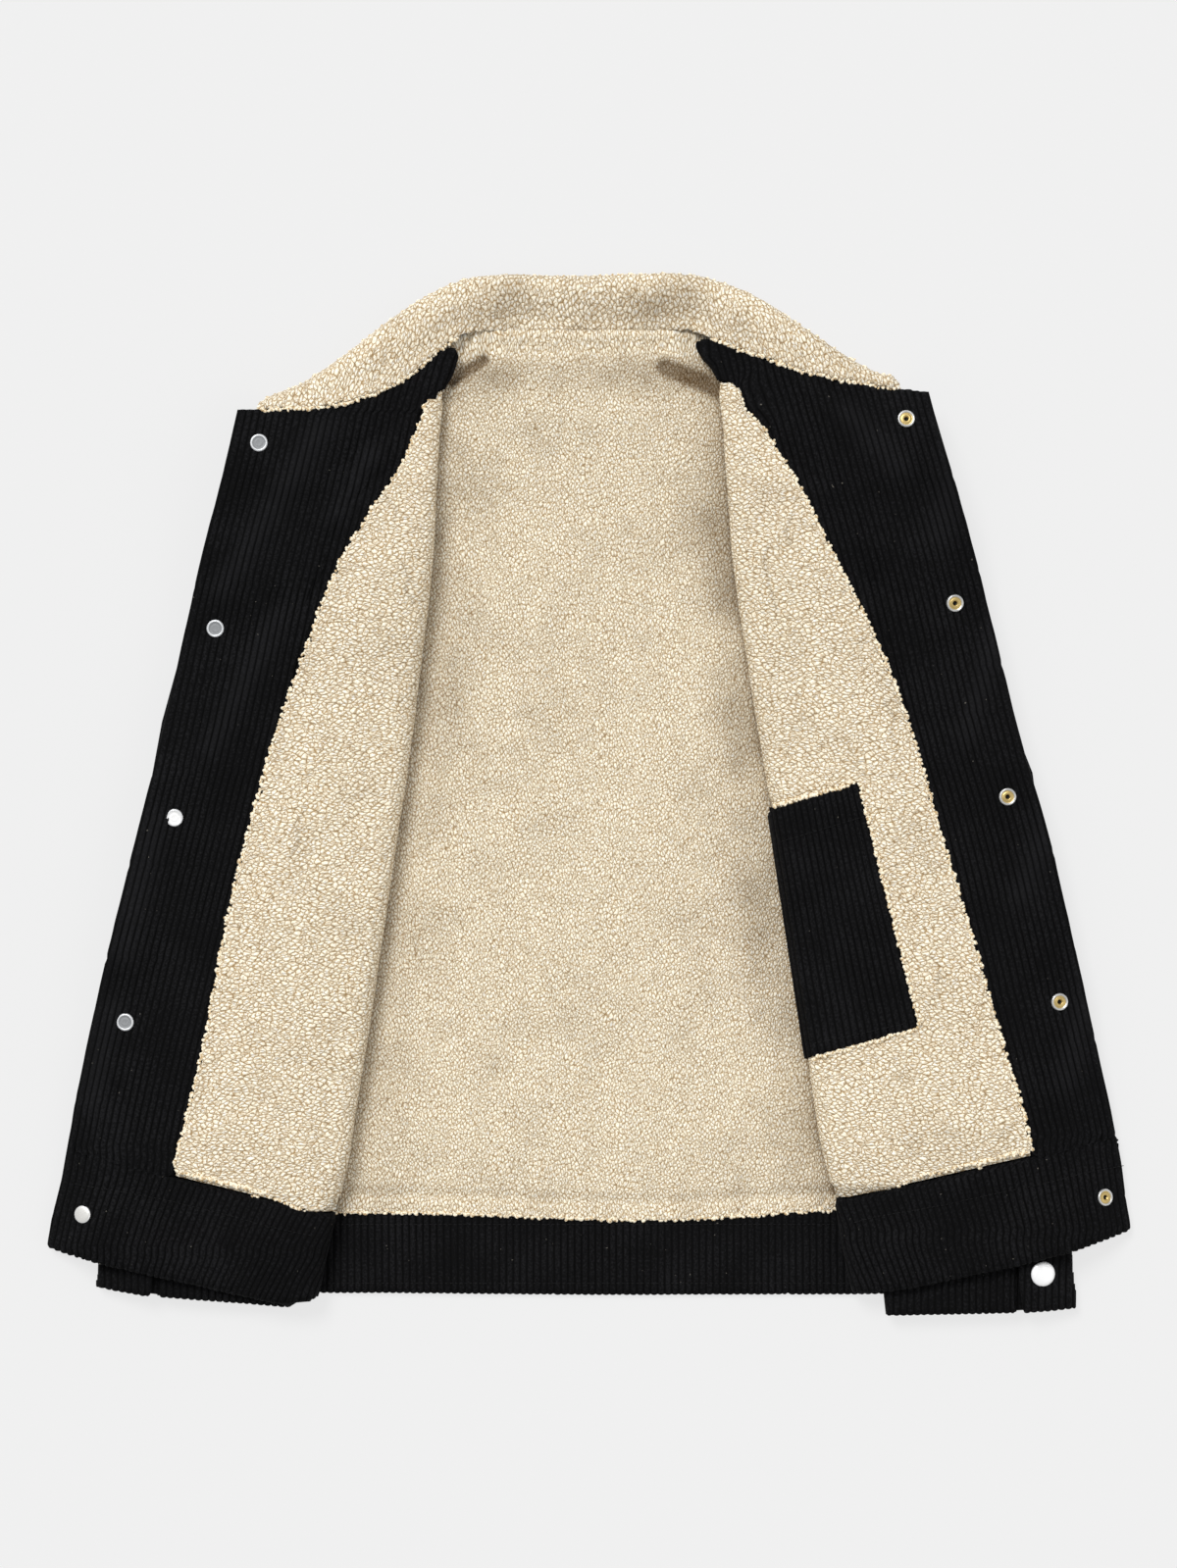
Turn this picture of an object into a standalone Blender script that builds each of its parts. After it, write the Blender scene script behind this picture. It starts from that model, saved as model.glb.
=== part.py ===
"""Sherpa lined corduroy jacket, laid open on its back with both fronts folded outwards.

+X is the garment's left as seen from above, +Y points to the collar, +Z up. Tables are in millimetres
from the middle of the laid garment, with "out" counted away from the centre back line.
"""
import math

import bpy
import numpy as np
from mathutils import Vector

MM = 0.001

# cloths, millimetres
CORD = 1.6              # corduroy
BAND = 1.9              # inner ply of a hem band
PILE = 5.5              # sherpa with its pile
PILE_AT_SEAM = 2.0      # sherpa pressed flat where it is sewn down
SEAM_EASE = 26.0        # distance over which the sherpa rises from a seam to its full pile
GAP = 0.5               # air between two layers that lie on each other
OPENED_GAP = 1.2        # the same under the opened half of a front
SEAM = 0.2              # how far each piece stands back from its seam line
FOLD = 3.5              # least radius of the turn along a folded front
LOFT_EASE = 45.0        # distance over which a folded front settles behind its turn

# the bed: height of all that is laid so far, on a square grid
CELL = 4.0
BED_X, BED_Y = 420.0, 400.0
WIDEN, EASE = 30.0, 16.0            # cloth bridges a step this far out, over this distance
WIDEN_BACK, EASE_BACK = 40.0, 24.0  # the same where the back lies on the turned collar

# folded fronts: a row per station down the garment, "out" of each lengthwise line
FRONT_COLUMNS = ("y", "side", "fold", "facing", "edge")
FRONTS = {
    "left": dict(
        sign=-1,
        stations=(
            (310, 232, 92.8, 113, 232),
            (264, 233, 105.5, 114, 241),
            (223, 229, 109, 134, 250),
            (175, 224, 115, 164, 263),
            (107, 230, 122.5, 192, 279),
            (39, 258, 130, 216, 294),
            (-29, 279, 140, 235, 311),
            (-97, 282, 150, 251, 328),
            (-165, 285, 160, 263, 344),
            (-233, 288, 171, 279, 358),
            (-267, 289, 175.5, 287, 364),
            (-295, 290, 182, 292, 371),
            (-316, 291, 188, 296, 375),
            (-350, 291, 193, 300, 380),
        ),
        top=dict(side=257, fold=308, facing=306, edge=264),
        seam=dict(side=-292, fold=-291, facing=-266, edge=-246),
        hem=dict(side=-345, fold=-349, edge=-315),
        neck=((100, 307), (109, 299), (122, 288), (137, 279), (151, 273), (165, 267), (178, 264.5),
              (197, 263), (218, 263.5), (241, 264)),
        hemline=((194, -349), (198, -353), (207, -354.5), (222, -352), (269, -341), (341, -325), (375, -315)),
    ),
    "right": dict(
        sign=1,
        stations=(
            (314, 229, 79, 96, 232),
            (276, 229, 95, 107, 234),
            (223, 226, 101, 140, 249),
            (175, 222, 105.5, 164, 263),
            (107, 229, 114.5, 198, 280.5),
            (39, 258, 126, 224, 297),
            (-29, 279, 137.5, 243, 317),
            (-97, 282, 146.5, 264, 333),
            (-165, 285, 157.5, 283, 348.5),
            (-233, 288, 167, 303, 364),
            (-252, 289, 170, 307, 368),
            (-281, 290, 177, 311, 372),
            (-303, 291, 181, 313, 375.5),
            (-350, 291, 189.5, 315, 378),
        ),
        top=dict(side=268, fold=314, facing=310, edge=276),
        seam=dict(side=-292, fold=-281, facing=-252, edge=-238),
        hem=dict(side=-345, fold=-346, edge=-303),
        neck=((84.5, 313), (92, 310), (114, 301), (146, 290), (177, 282), (203, 278), (220, 277), (234, 276)),
        hemline=((193, -346), (199, -347), (212, -345), (253, -336), (296, -327), (335, -317), (375.5, -303)),
    ),
}

# back, half width by station; the shoulder slopes from the neck point to the shoulder point
BACK_COLUMNS = ("y", "left", "right")
BACK = (
    (320, 231, 229), (262, 231, 229), (223, 228, 226), (175, 224, 222), (107, 230, 229), (39, 258, 258),
    (-29, 279, 279), (-97, 282, 282), (-165, 285, 285), (-233, 288, 288), (-295, 290, 290), (-350, 291, 291),
)
BACK_TOP = ((-231, 257), (-160, 284), (-95, 309), (-84, 315), (-60, 318), (0, 317.5), (55, 318),
            (72, 318), (82, 314), (155, 292), (229, 269))
BACK_SEAM = ((-290, -292), (-180, -291), (-118, -291), (0, -296), (52, -297), (118, -293), (175, -288), (290, -292))
BACK_HEM = ((-291, -345), (-190, -347), (-140, -347), (0, -348.5), (140, -348), (206, -348), (291, -345))

# sleeves, flat under the fronts: outer and inner edge of each by station
SLEEVE_COLUMNS = ("y", "outer", "inner")
SLEEVES = {
    "left": ((238, 236, 186), (209, 249, 158), (141, 270, 148), (87, 286, 144), (53, 295.5, 144), (19, 302, 148),
             (-29, 308, 154), (-97, 317, 165), (-165, 323, 177), (-233, 330, 190), (-291, 336, 201)),
    "right": ((242, 232, 186), (209, 248, 158), (141, 268, 148), (87, 284, 147), (39, 298, 148), (16, 308, 150),
              (-29, 314, 155), (-97, 321, 165), (-165, 326, 177), (-233, 330, 190), (-291, 333, 202)),
}
SLEEVE_WALL = 1.8
SLEEVE_HOLLOW = 2.6     # height of the flat hollow inside a sleeve
UNDERARM_Y = 30.0       # above this only the sleeve's upper wall goes on, as its cap

# cuffs: upper and lower corners of the flat band, and where the upper end of its wrap stops
CUFF_PLY = 2.4
CUFFS = {
    "left": dict(top_y=-291, top_outer=336, top_inner=201, outer=342, outer_y=-343, wrap_end=305, wrap_y=-348.5,
                 inner=208, inner_y=-356),
    "right": dict(top_y=-291, top_outer=333, top_inner=202, outer=339, outer_y=-357.5, wrap_end=302, wrap_y=-360,
                  inner=207, inner_y=-362),
}
CUFF_SNAP_UP = 25.0     # centre of the snap above the cuff's lower edge

# collar: seam, rolled edge and depth of the turned fall by station, left to right
COLLAR_COLUMNS = ("seam_x", "seam_y", "roll_x", "roll_y", "fall")
COLLAR = (
    (-230, 263.5, -229, 268, 8), (-213, 263.5, -214, 274, 24), (-191, 264, -199, 282, 40),
    (-173, 266.5, -184, 292, 52), (-151, 273.5, -171, 301, 60), (-132, 282, -152, 316, 66),
    (-115, 294, -134, 330, 70), (-102, 305, -116, 342, 72), (-92, 314, -98, 352, 72),
    (-78, 318, -81, 359, 70), (-58, 319, -59, 361, 70), (-30, 318.5, -30, 360, 70), (0, 318, 0, 359.5, 70),
    (30, 318.5, 30, 361, 70), (57, 319, 57, 362, 70), (70, 319, 78, 360, 70), (79, 316, 97, 354, 72),
    (91, 311, 114, 345, 72), (110, 304, 133, 333, 70), (130, 297, 151, 321, 66), (149, 290, 169, 308, 60),
    (170, 285, 185, 298, 50), (190, 281, 199, 289, 36), (207, 279, 209, 284, 18), (216, 278.5, 216, 281, 8),
)
COLLAR_EASE = 1.5       # the collar starts this far from its seam line
ROLL_AIR = 1.5          # the rolled pile stays this far inside the drawn edge

# inner pocket on the right front: corners "out, y", upper inner, upper outer, lower outer, lower inner
POCKET = ((129, -10), (185.5, 6.5), (226.5, -161), (155, -179.5))
POCKET_PLY = 1.8

# snaps: "out, y" of each centre, top to bottom
SNAPS = {
    "left": ((227.5, 241.5), (258, 113.5), (286.5, -17.5), (320.5, -159), (350.5, -292.5)),
    "right": ((219.5, 258), (253.5, 131), (290, -3), (326, -145), (358, -281)),
}
SNAP_RADIUS = 6.1
CUFF_SNAP_RADIUS = 8.7
ROUND = 14              # sides of a round fitting

COLOURS = {
    "corduroy": ((0.008, 0.008, 0.009), 0.92, 0.0),
    "sherpa": ((0.76, 0.64, 0.46), 0.98, 0.0),
    "silver": ((0.72, 0.72, 0.72), 0.32, 1.0),
    "brass": ((0.72, 0.55, 0.24), 0.35, 1.0),
}


def clear_scene():
    for thing in list(bpy.data.objects):
        bpy.data.objects.remove(thing, do_unlink=True)


def material(name, finish):
    colour, roughness, metallic = COLOURS[finish]
    made = bpy.data.materials.new(name)
    made.use_nodes = True
    shader = made.node_tree.nodes["Principled BSDF"]
    shader.inputs["Base Color"].default_value = (*colour, 1.0)
    shader.inputs["Roughness"].default_value = roughness
    shader.inputs["Metallic"].default_value = metallic
    return made


def add_object(name, verts, faces, finish):
    mesh = bpy.data.meshes.new(name)
    mesh.from_pydata([tuple(v) for v in np.asarray(verts) * MM], [], faces)
    mesh.validate()
    made = bpy.data.objects.new(name, mesh)
    made.data.materials.append(material(name, finish))
    bpy.context.scene.collection.objects.link(made)
    mesh.shade_smooth()
    mesh.set_sharp_from_angle(angle=math.radians(50))
    return made


def curve(xs, values, x):
    """Smooth line through a short table, read at x."""
    xs, values = np.asarray(xs, float), np.asarray(values, float)
    if xs[0] > xs[-1]:
        xs, values = xs[::-1], values[::-1]
    slopes = np.gradient(values, xs)
    x = np.clip(x, xs[0], xs[-1])
    k = np.clip(np.searchsorted(xs, x) - 1, 0, len(xs) - 2)
    h = xs[k + 1] - xs[k]
    t = (x - xs[k]) / h
    return ((2 * t**3 - 3 * t**2 + 1) * values[k] + (t**3 - 2 * t**2 + t) * h * slopes[k]
            + (3 * t**2 - 2 * t**3) * values[k + 1] + (t**3 - t**2) * h * slopes[k + 1])


def named(columns, rows):
    """Columns of a table by name."""
    return dict(zip(columns, np.array(rows, float).T))


def along(points, share):
    """Point at a share of the length of a drawn line."""
    points = np.asarray(points, float)
    run = np.concatenate([[0], np.cumsum(np.linalg.norm(np.diff(points, axis=0), axis=1))])
    return np.array([np.interp(share * run[-1], run, points[:, i]) for i in range(2)])


def ease(x):
    x = np.clip(x, 0.0, 1.0)
    return x * x * (3 - 2 * x)


def disc_steps(radius):
    reach = int(round(radius / CELL))
    return [(i, j) for i in range(-reach, reach + 1) for j in range(-reach, reach + 1)
            if i * i + j * j <= reach * reach]


class Bed:
    """Height of everything laid so far, which the next layer settles on."""

    def __init__(self):
        self.xs = np.arange(-BED_X, BED_X + CELL, CELL)
        self.ys = np.arange(-BED_Y, BED_Y + CELL, CELL)
        self.raw = np.zeros((len(self.ys), len(self.xs)))
        self.soft = self.raw

    def cover(self, top):
        """Raise the bed under each facet of a laid surface."""
        rows, columns = top.shape[:2]
        for i in range(rows - 1):
            for j in range(columns - 1):
                quad = (top[i, j], top[i, j + 1], top[i + 1, j + 1], top[i + 1, j])
                self.raise_facet(quad[0], quad[1], quad[2])
                self.raise_facet(quad[0], quad[2], quad[3])

    def raise_facet(self, a, b, c):
        low = np.minimum(np.minimum(a, b), c)
        high = np.maximum(np.maximum(a, b), c)
        i0, i1 = np.searchsorted(self.ys, (low[1] - CELL / 2, high[1] + CELL / 2))
        j0, j1 = np.searchsorted(self.xs, (low[0] - CELL / 2, high[0] + CELL / 2))
        if i0 == i1 or j0 == j1:
            return
        area = (b[0] - a[0]) * (c[1] - a[1]) - (b[1] - a[1]) * (c[0] - a[0])
        if abs(area) < 1e-6:
            return
        x, y = np.meshgrid(self.xs[j0:j1], self.ys[i0:i1])
        u = ((x - a[0]) * (c[1] - a[1]) - (y - a[1]) * (c[0] - a[0])) / area
        v = ((b[0] - a[0]) * (y - a[1]) - (b[1] - a[1]) * (x - a[0])) / area
        slack = 0.08
        inside = (u > -slack) & (v > -slack) & (u + v < 1 + slack)
        z = a[2] + u * (b[2] - a[2]) + v * (c[2] - a[2])
        patch = self.raw[i0:i1, j0:j1]
        patch[inside] = np.maximum(patch[inside], z[inside])

    def settle(self, widen=WIDEN, smooth=EASE):
        """Cloth bridges steps: widen each height, then smooth it, never below what is laid."""
        wide = np.max([np.roll(self.raw, step, (0, 1)) for step in disc_steps(widen)], axis=0)
        self.soft = np.mean([np.roll(wide, step, (0, 1)) for step in disc_steps(smooth)], axis=0)

    def height(self, x, y):
        x = np.clip((np.asarray(x, float) - self.xs[0]) / CELL, 0, len(self.xs) - 1.001)
        y = np.clip((np.asarray(y, float) - self.ys[0]) / CELL, 0, len(self.ys) - 1.001)
        j, i = x.astype(int), y.astype(int)
        u, v = x - j, y - i
        z = self.soft
        return ((z[i, j] * (1 - u) + z[i, j + 1] * u) * (1 - v)
                + (z[i + 1, j] * (1 - u) + z[i + 1, j + 1] * u) * v)


def wall(name, surface, normal, low, high, finish, cells=None, around=False, seam=SEAM):
    """Closed wall over some cells of a surface, from low to high along its normals."""
    rows, columns = surface.shape[:2]
    spans = columns if around else columns - 1
    if cells is None:
        cells = np.ones((rows - 1, spans), bool)
    low = np.broadcast_to(low, (rows, columns))
    high = np.broadcast_to(high, (rows, columns))
    quads = [((i, j), (i, (j + 1) % columns), (i + 1, (j + 1) % columns), (i + 1, j))
             for i in range(rows - 1) for j in range(spans) if cells[i, j]]
    middles = {(quad[k], quad[(k + 1) % 4]): sum(surface[p] for p in quad) / 4
               for quad in quads for k in range(4)}
    rim = [edge for edge in middles if (edge[1], edge[0]) not in middles]
    inward = {}
    for a, b in rim:
        line = surface[b] - surface[a]
        line /= np.linalg.norm(line)
        across = middles[a, b] - surface[a]
        across -= line * np.dot(line, across)
        across /= np.linalg.norm(across)
        for point in (a, b):
            inward[point] = inward.get(point, 0) + across
    pull = {point: seam * 2 * way / max(np.dot(way, way), 0.8) for point, way in inward.items()}
    points = sorted({point for quad in quads for point in quad})
    index, verts, faces = {}, [], []
    for outer, offset in ((True, high), (False, low)):
        for point in points:
            index[point, outer] = len(verts)
            verts.append(surface[point] + normal[point] * offset[point] + pull.get(point, 0))
    for a, b, c, d in quads:
        for corners in ((a, b, c), (a, c, d)):
            faces.append([index[p, True] for p in corners])
            faces.append([index[p, False] for p in reversed(corners)])
    for a, b in rim:
        faces.append([index[b, True], index[a, True], index[a, False], index[b, False]])
    verts = np.array(verts)
    if volume(verts, faces) < 0:
        faces = [face[::-1] for face in faces]
    return add_object(name, verts, faces, finish)


def volume(verts, faces):
    total = 0.0
    for face in faces:
        for k in range(1, len(face) - 1):
            total += np.dot(verts[face[0]], np.cross(verts[face[k]], verts[face[k + 1]]))
    return total / 6


def distance_to(surface, line):
    """Distance in plan from each point of a surface to a drawn line."""
    line = np.asarray(line, float)
    dense = np.array([line[k] + (line[k + 1] - line[k]) * s
                      for k in range(len(line) - 1) for s in np.linspace(0, 1, 12)])
    flat = surface[..., None, :2] - dense[:, :2]
    return np.sqrt((flat**2).sum(-1)).min(-1)


def pile_depth(distance):
    return PILE_AT_SEAM + (PILE - PILE_AT_SEAM) * ease(distance / SEAM_EASE)


def upright(surface, side):
    normal = np.zeros_like(surface)
    normal[..., 2] = side
    return normal


# ---- back ----------------------------------------------------------------------------------

def back_plan(top_line, bottom_line, levels, across):
    """Plan of the back between two drawn lines, its sides following the side seams."""
    sides = named(BACK_COLUMNS, BACK)
    plan = np.zeros((len(levels), len(across), 3))
    for i, level in enumerate(levels):
        for j, share in enumerate(across):
            x_top, y_top = at_share(top_line, share)
            x_low, y_low = at_share(bottom_line, share)
            row_y = y_top + (y_low - y_top) * level
            straight = x_top + (x_low - x_top) * level
            left = -curve(sides["y"], sides["left"], row_y)
            right = curve(sides["y"], sides["right"], row_y)
            left_bow = left - (top_line[0][0] + (bottom_line[0][0] - top_line[0][0]) * level)
            right_bow = right - (top_line[-1][0] + (bottom_line[-1][0] - top_line[-1][0]) * level)
            plan[i, j, :2] = straight + left_bow * (1 - share)**4 + right_bow * share**4, row_y
    return plan


def at_share(line, share):
    """Point of a drawn line at a share of its breadth."""
    xs = [p[0] for p in line]
    x = xs[0] + (xs[-1] - xs[0]) * share
    return x, np.interp(x, xs, [p[1] for p in line])


BACK_LEVELS = np.concatenate([[0, 0.025, 0.055, 0.09, 0.13], np.linspace(0.2, 1, 10)])


def make_back(bed):
    across = np.concatenate([np.linspace(0, 0.28, 4), [0.318], np.linspace(0.38, 0.62, 4), [0.685],
                             np.linspace(0.74, 1, 4)])
    body = back_plan(BACK_TOP, BACK_SEAM, BACK_LEVELS, across)
    under = bed.height(body[..., 0], body[..., 1])
    body[..., 2] = under + CORD + GAP * ease(under / GAP)
    up = upright(body, 1)
    wall("back_shell", body, up, -CORD, -SEAM, "corduroy")
    rim = np.concatenate([body[0, ::-1], body[:, 0], body[-1], body[::-1, -1]])
    pile = pile_depth(distance_to(body, rim)) + SEAM
    wall("back_lining", body, up, SEAM, pile, "sherpa")
    band = back_plan(BACK_SEAM, BACK_HEM, np.linspace(0, 1, 3), across)
    band[..., 2] = bed.height(band[..., 0], band[..., 1]) + CORD
    wall("back_hem_band", band, upright(band, 1), -CORD, BAND, "corduroy")
    bed.cover(body + up * pile[..., None])
    bed.cover(band + upright(band, 1) * BAND)
    return body


# ---- fronts --------------------------------------------------------------------------------

LOWER, TURN, LINING, FACING = 7, 5, 4, 4       # spans across a front, from side seam to front edge
FOLD_START = 0.05                              # share of the fold above which the facing wraps it
LEVELS = np.concatenate([[0, FOLD_START], np.linspace(FOLD_START, 1, 16)[1:]])
BAND_LEVELS = np.linspace(0, 1, 4)
FIRST_UPPER = LOWER + TURN


def front_line(front, line, ends, level):
    """Point on one lengthwise line of a front, at a level between two cross lines."""
    stations = named(FRONT_COLUMNS, front["stations"])
    top, low = ends
    y = front[top][line] + (front[low][line] - front[top][line]) * level
    return np.array([curve(stations["y"], stations[line], y), y])


def lower_plan(front, ends, levels):
    plan = np.zeros((len(levels), LOWER + 1, 3))
    for i, level in enumerate(levels):
        side = front_line(front, "side", ends, level)
        fold = front_line(front, "fold", ends, level) + (FOLD, 0)
        for j in range(LOWER + 1):
            plan[i, j, :2] = side + (fold - side) * j / LOWER
    plan[..., 0] *= front["sign"]
    return plan


def upper_plan(front, ends, levels):
    """Opened half of a front; its neck and hem follow their drawn curves."""
    plan = np.zeros((len(levels), LINING + FACING + 1, 3))
    spans = np.concatenate([np.linspace(0, 1, LINING + 1), 1 + np.linspace(0, 1, FACING + 1)[1:]])
    for i, level in enumerate(levels):
        fold = front_line(front, "fold", ends, level) + (FOLD, 0)
        edge = front_line(front, "edge", ends, level)
        if ends == ("top", "seam"):
            facing = front_line(front, "facing", ends, level)
        else:
            start = front_line(front, "facing", ("top", "seam"), 1.0)
            facing = start + (fold + (edge - fold) * 0.55 - start) * level
        for j, span in enumerate(spans):
            plan[i, j, :2] = fold + (facing - fold) * span if span <= 1 else facing + (edge - facing) * (span - 1)
    flat = plan[:, :, :2].copy()
    if ends == ("top", "seam"):
        drawn, row, fade = front["neck"], 0, (1 - ease(levels / 0.25))
    else:
        drawn, row, fade = front["hemline"], -1, levels
    run = np.concatenate([[0], np.cumsum(np.linalg.norm(np.diff(flat[row], axis=0), axis=1))])
    for j in range(flat.shape[1]):
        bow = along(drawn, run[j] / run[-1]) - flat[row, j]
        if j > 0:
            plan[:, j, :2] += fade[:, None] * bow
    plan[..., 0] *= front["sign"]
    return plan


def front_surface(front, bed, lower, upper, lower_z):
    """Whole surface of a folded front, with its normals towards the lined side."""
    rows = lower.shape[0]
    lower = lower.copy()
    lower[..., 2] = lower_z
    upper = upper.copy()
    rest = bed.height(upper[..., 0], upper[..., 1]) + CORD + OPENED_GAP
    needed = lower[:, -1, 2] + 2 * FOLD
    lift = np.maximum(needed - rest[:, 0], 0)
    behind = np.linalg.norm(upper[..., :2] - upper[:, :1, :2], axis=-1)
    upper[..., 2] = rest + lift[:, None] * (1 - ease(behind / LOFT_EASE))
    turn, turn_normal = np.zeros((rows, TURN - 1, 3)), np.zeros((rows, TURN - 1, 3))
    for i in range(rows):
        low, high = lower[i, -1], upper[i, 0]
        half = (high[2] - low[2]) / 2
        for k in range(TURN - 1):
            angle = math.pi * (k + 1) / TURN
            bulge = -front["sign"] * max(FOLD, half) * math.sin(angle)
            turn[i, k] = (low[0] + (high[0] - low[0]) * (k + 1) / TURN + bulge,
                          low[1] + (high[1] - low[1]) * (k + 1) / TURN,
                          low[2] + half * (1 - math.cos(angle)))
            turn_normal[i, k] = (-front["sign"] * math.sin(angle), 0, -math.cos(angle))
    surface = np.concatenate([lower, turn, upper], axis=1)
    normal = np.concatenate([upright(lower, -1), turn_normal, upright(upper, 1)], axis=1)
    return surface, normal


def lower_sewn(body):
    """Distance to the seams of the lower half: side, shoulder and hem."""
    return np.minimum.reduce([distance_to(body, line) for line in (body[:, 0], body[0], body[-1])])


def make_lower_front(front, bed):
    body = lower_plan(front, ("top", "seam"), LEVELS)
    pile = pile_depth(lower_sewn(body)) + SEAM
    body[..., 2] = bed.height(body[..., 0], body[..., 1]) + GAP + pile
    band = lower_plan(front, ("seam", "hem"), BAND_LEVELS)
    band[..., 2] = bed.height(band[..., 0], band[..., 1]) + GAP + BAND
    return body, band


def make_fronts(bed, name, front, body, band):
    ends = ("top", "seam")
    upper = upper_plan(front, ends, LEVELS)
    surface, normal = front_surface(front, bed, body, upper, body[..., 2])
    rows, columns = surface.shape[:2]
    cells = np.zeros((rows - 1, columns - 1), bool)
    wall("front_shell_" + name, surface, normal, -CORD, -SEAM, "corduroy")

    stop = FIRST_UPPER + LINING
    sewn = np.minimum.reduce([distance_to(surface, line)
                              for line in (surface[1, LOWER:], surface[-1], surface[:, stop])])
    sewn[:, :LOWER + 1] = lower_sewn(body)
    pile = pile_depth(sewn) + SEAM
    lining = cells.copy()
    lining[:, :LOWER] = True
    lining[1:, :stop] = True
    wall("front_lining_" + name, surface, normal, SEAM, pile, "sherpa", lining, seam=2.5 * SEAM)

    facing = cells.copy()
    facing[:, stop:] = True
    facing[0, LOWER:stop] = True
    wall("front_facing_" + name, surface, normal, SEAM, CORD, "corduroy", facing)

    hem_upper = upper_plan(front, ("seam", "hem"), BAND_LEVELS)
    hem, hem_normal = front_surface(front, bed, band, hem_upper, band[..., 2])
    wall("front_hem_band_" + name, hem, hem_normal, -CORD, BAND, "corduroy")
    return surface, normal, pile, hem, hem_normal


# ---- sleeves and cuffs ---------------------------------------------------------------------

SLEEVE_SPANS = 7


def flat_tube(bed, sign, rows, half):
    """Rings of a tube lying flat on the bed: out along its upper wall, back along its lower one."""
    rings = np.zeros((len(rows), 2 * SLEEVE_SPANS, 3))
    normal = np.zeros_like(rings)
    for i, (y, outer, inner) in enumerate(rows):
        for k in range(2 * SLEEVE_SPANS):
            angle = math.pi * (k + 0.5) / SLEEVE_SPANS
            across = math.cos(angle)
            share = 0.5 + 0.5 * math.copysign(abs(across)**0.8, across)
            lift = half * math.copysign(min(1.0, 2.2 * abs(math.sin(angle))), math.sin(angle))
            x = inner + (outer - inner) * share
            rings[i, k] = sign * x, y, lift
            normal[i, k] = sign * 0.5 * across, 0, math.sin(angle)
    normal /= np.linalg.norm(normal, axis=-1, keepdims=True)
    rings[..., 2] += bed.height(rings[..., 0], rings[..., 1]) + GAP + half + SLEEVE_WALL
    return rings, normal


def make_sleeve(bed, name, sign):
    sleeve = named(SLEEVE_COLUMNS, SLEEVES[name])
    y = sleeve["y"]
    levels = np.linspace(y[0], y[-1], 15)
    rows = [(level, curve(y, sleeve["outer"], level), curve(y, sleeve["inner"], level)) for level in levels]
    rings, normal = flat_tube(bed, sign, rows, SLEEVE_HOLLOW / 2)
    cells = np.ones((len(rows) - 1, 2 * SLEEVE_SPANS), bool)
    cap = np.array([level > UNDERARM_Y for level in levels[1:]])
    cells[np.ix_(cap, range(SLEEVE_SPANS, 2 * SLEEVE_SPANS - 1))] = False
    wall("sleeve_" + name, rings, normal, SEAM, SLEEVE_WALL, "corduroy", cells, around=True)
    return rings[:, :SLEEVE_SPANS] + normal[:, :SLEEVE_SPANS] * SLEEVE_WALL


CUFF_TURN = 4
CUFF_SPANS = 5
CUFF_AIR = 1.0


def cuff_path(wrap):
    """Wrap of a cuff seen from its end: share of the breadth, millimetres beside it, height."""
    low = CUFF_PLY
    upper = low + CUFF_AIR
    over = upper + CUFF_PLY + CUFF_AIR
    path = [(0.82 - 0.77 * k / CUFF_SPANS, 0.0, upper) for k in range(CUFF_SPANS)]
    path += half_turn(0.0, 1, upper, low)
    path += [(0.07 + 0.86 * k / CUFF_SPANS, 0.0, low) for k in range(1, CUFF_SPANS)]
    path += half_turn(1.0, -1, low, over)
    path += [(0.92 + (wrap - 0.92) * k / 2, 0.0, over) for k in range(3)]
    return path


def half_turn(share, inward, start, end):
    radius = abs(end - start) / 2
    points = []
    for k in range(CUFF_TURN + 1):
        angle = math.pi * k / CUFF_TURN
        beside = inward * (CUFF_PLY + radius - radius * math.sin(angle))
        points.append((share, beside, (start + end) / 2 - (end - start) / 2 * math.cos(angle)))
    return points


def make_cuff(bed, name, sign):
    """Double band wrapped round: from under its own end, round both edges and over again."""
    cuff = CUFFS[name]
    wrap = (cuff["wrap_end"] - cuff["inner"]) / (cuff["outer"] - cuff["inner"])
    path = cuff_path(wrap)
    levels = np.linspace(0, 1, 4)
    surface = np.zeros((len(levels), len(path), 3))
    normal = np.zeros_like(surface)
    for i, level in enumerate(levels):
        outer = cuff["top_outer"] + (cuff["outer"] - cuff["top_outer"]) * level
        inner = cuff["top_inner"] + (cuff["inner"] - cuff["top_inner"]) * level
        line = np.array([(inner + (outer - inner) * share + beside, z) for share, beside, z in path])
        for j, (share, _, z) in enumerate(path):
            bottom = np.interp(share, (0, wrap, 1), (cuff["inner_y"], cuff["wrap_y"], cuff["outer_y"]))
            surface[i, j] = sign * line[j, 0], cuff["top_y"] + (bottom - cuff["top_y"]) * level, z
        before = np.diff(line, axis=0, prepend=2 * line[:1] - line[1:2])
        after = np.diff(line, axis=0, append=2 * line[-1:] - line[-2:-1])
        tangent = before / np.linalg.norm(before, axis=1)[:, None]
        tangent += after / np.linalg.norm(after, axis=1)[:, None]
        tangent /= np.linalg.norm(tangent, axis=1)[:, None]
        normal[i, :, 0], normal[i, :, 2] = sign * tangent[:, 1], -tangent[:, 0]
    surface[..., 2] += bed.height(surface[..., 0], surface[..., 1]) + GAP
    wall("cuff_" + name, surface, normal, 0.0, CUFF_PLY, "corduroy")
    return surface + normal * CUFF_PLY


# ---- collar --------------------------------------------------------------------------------

FALL_SPANS, ROLL_SPANS, STAND_SPANS = 3, 4, 4
FALL_Z = PILE + 0.4
ROLL = 3.4              # least radius of the rolled edge
ROLL_REACH = 5.0        # how far the rolled edge stands out where it is taller


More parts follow.
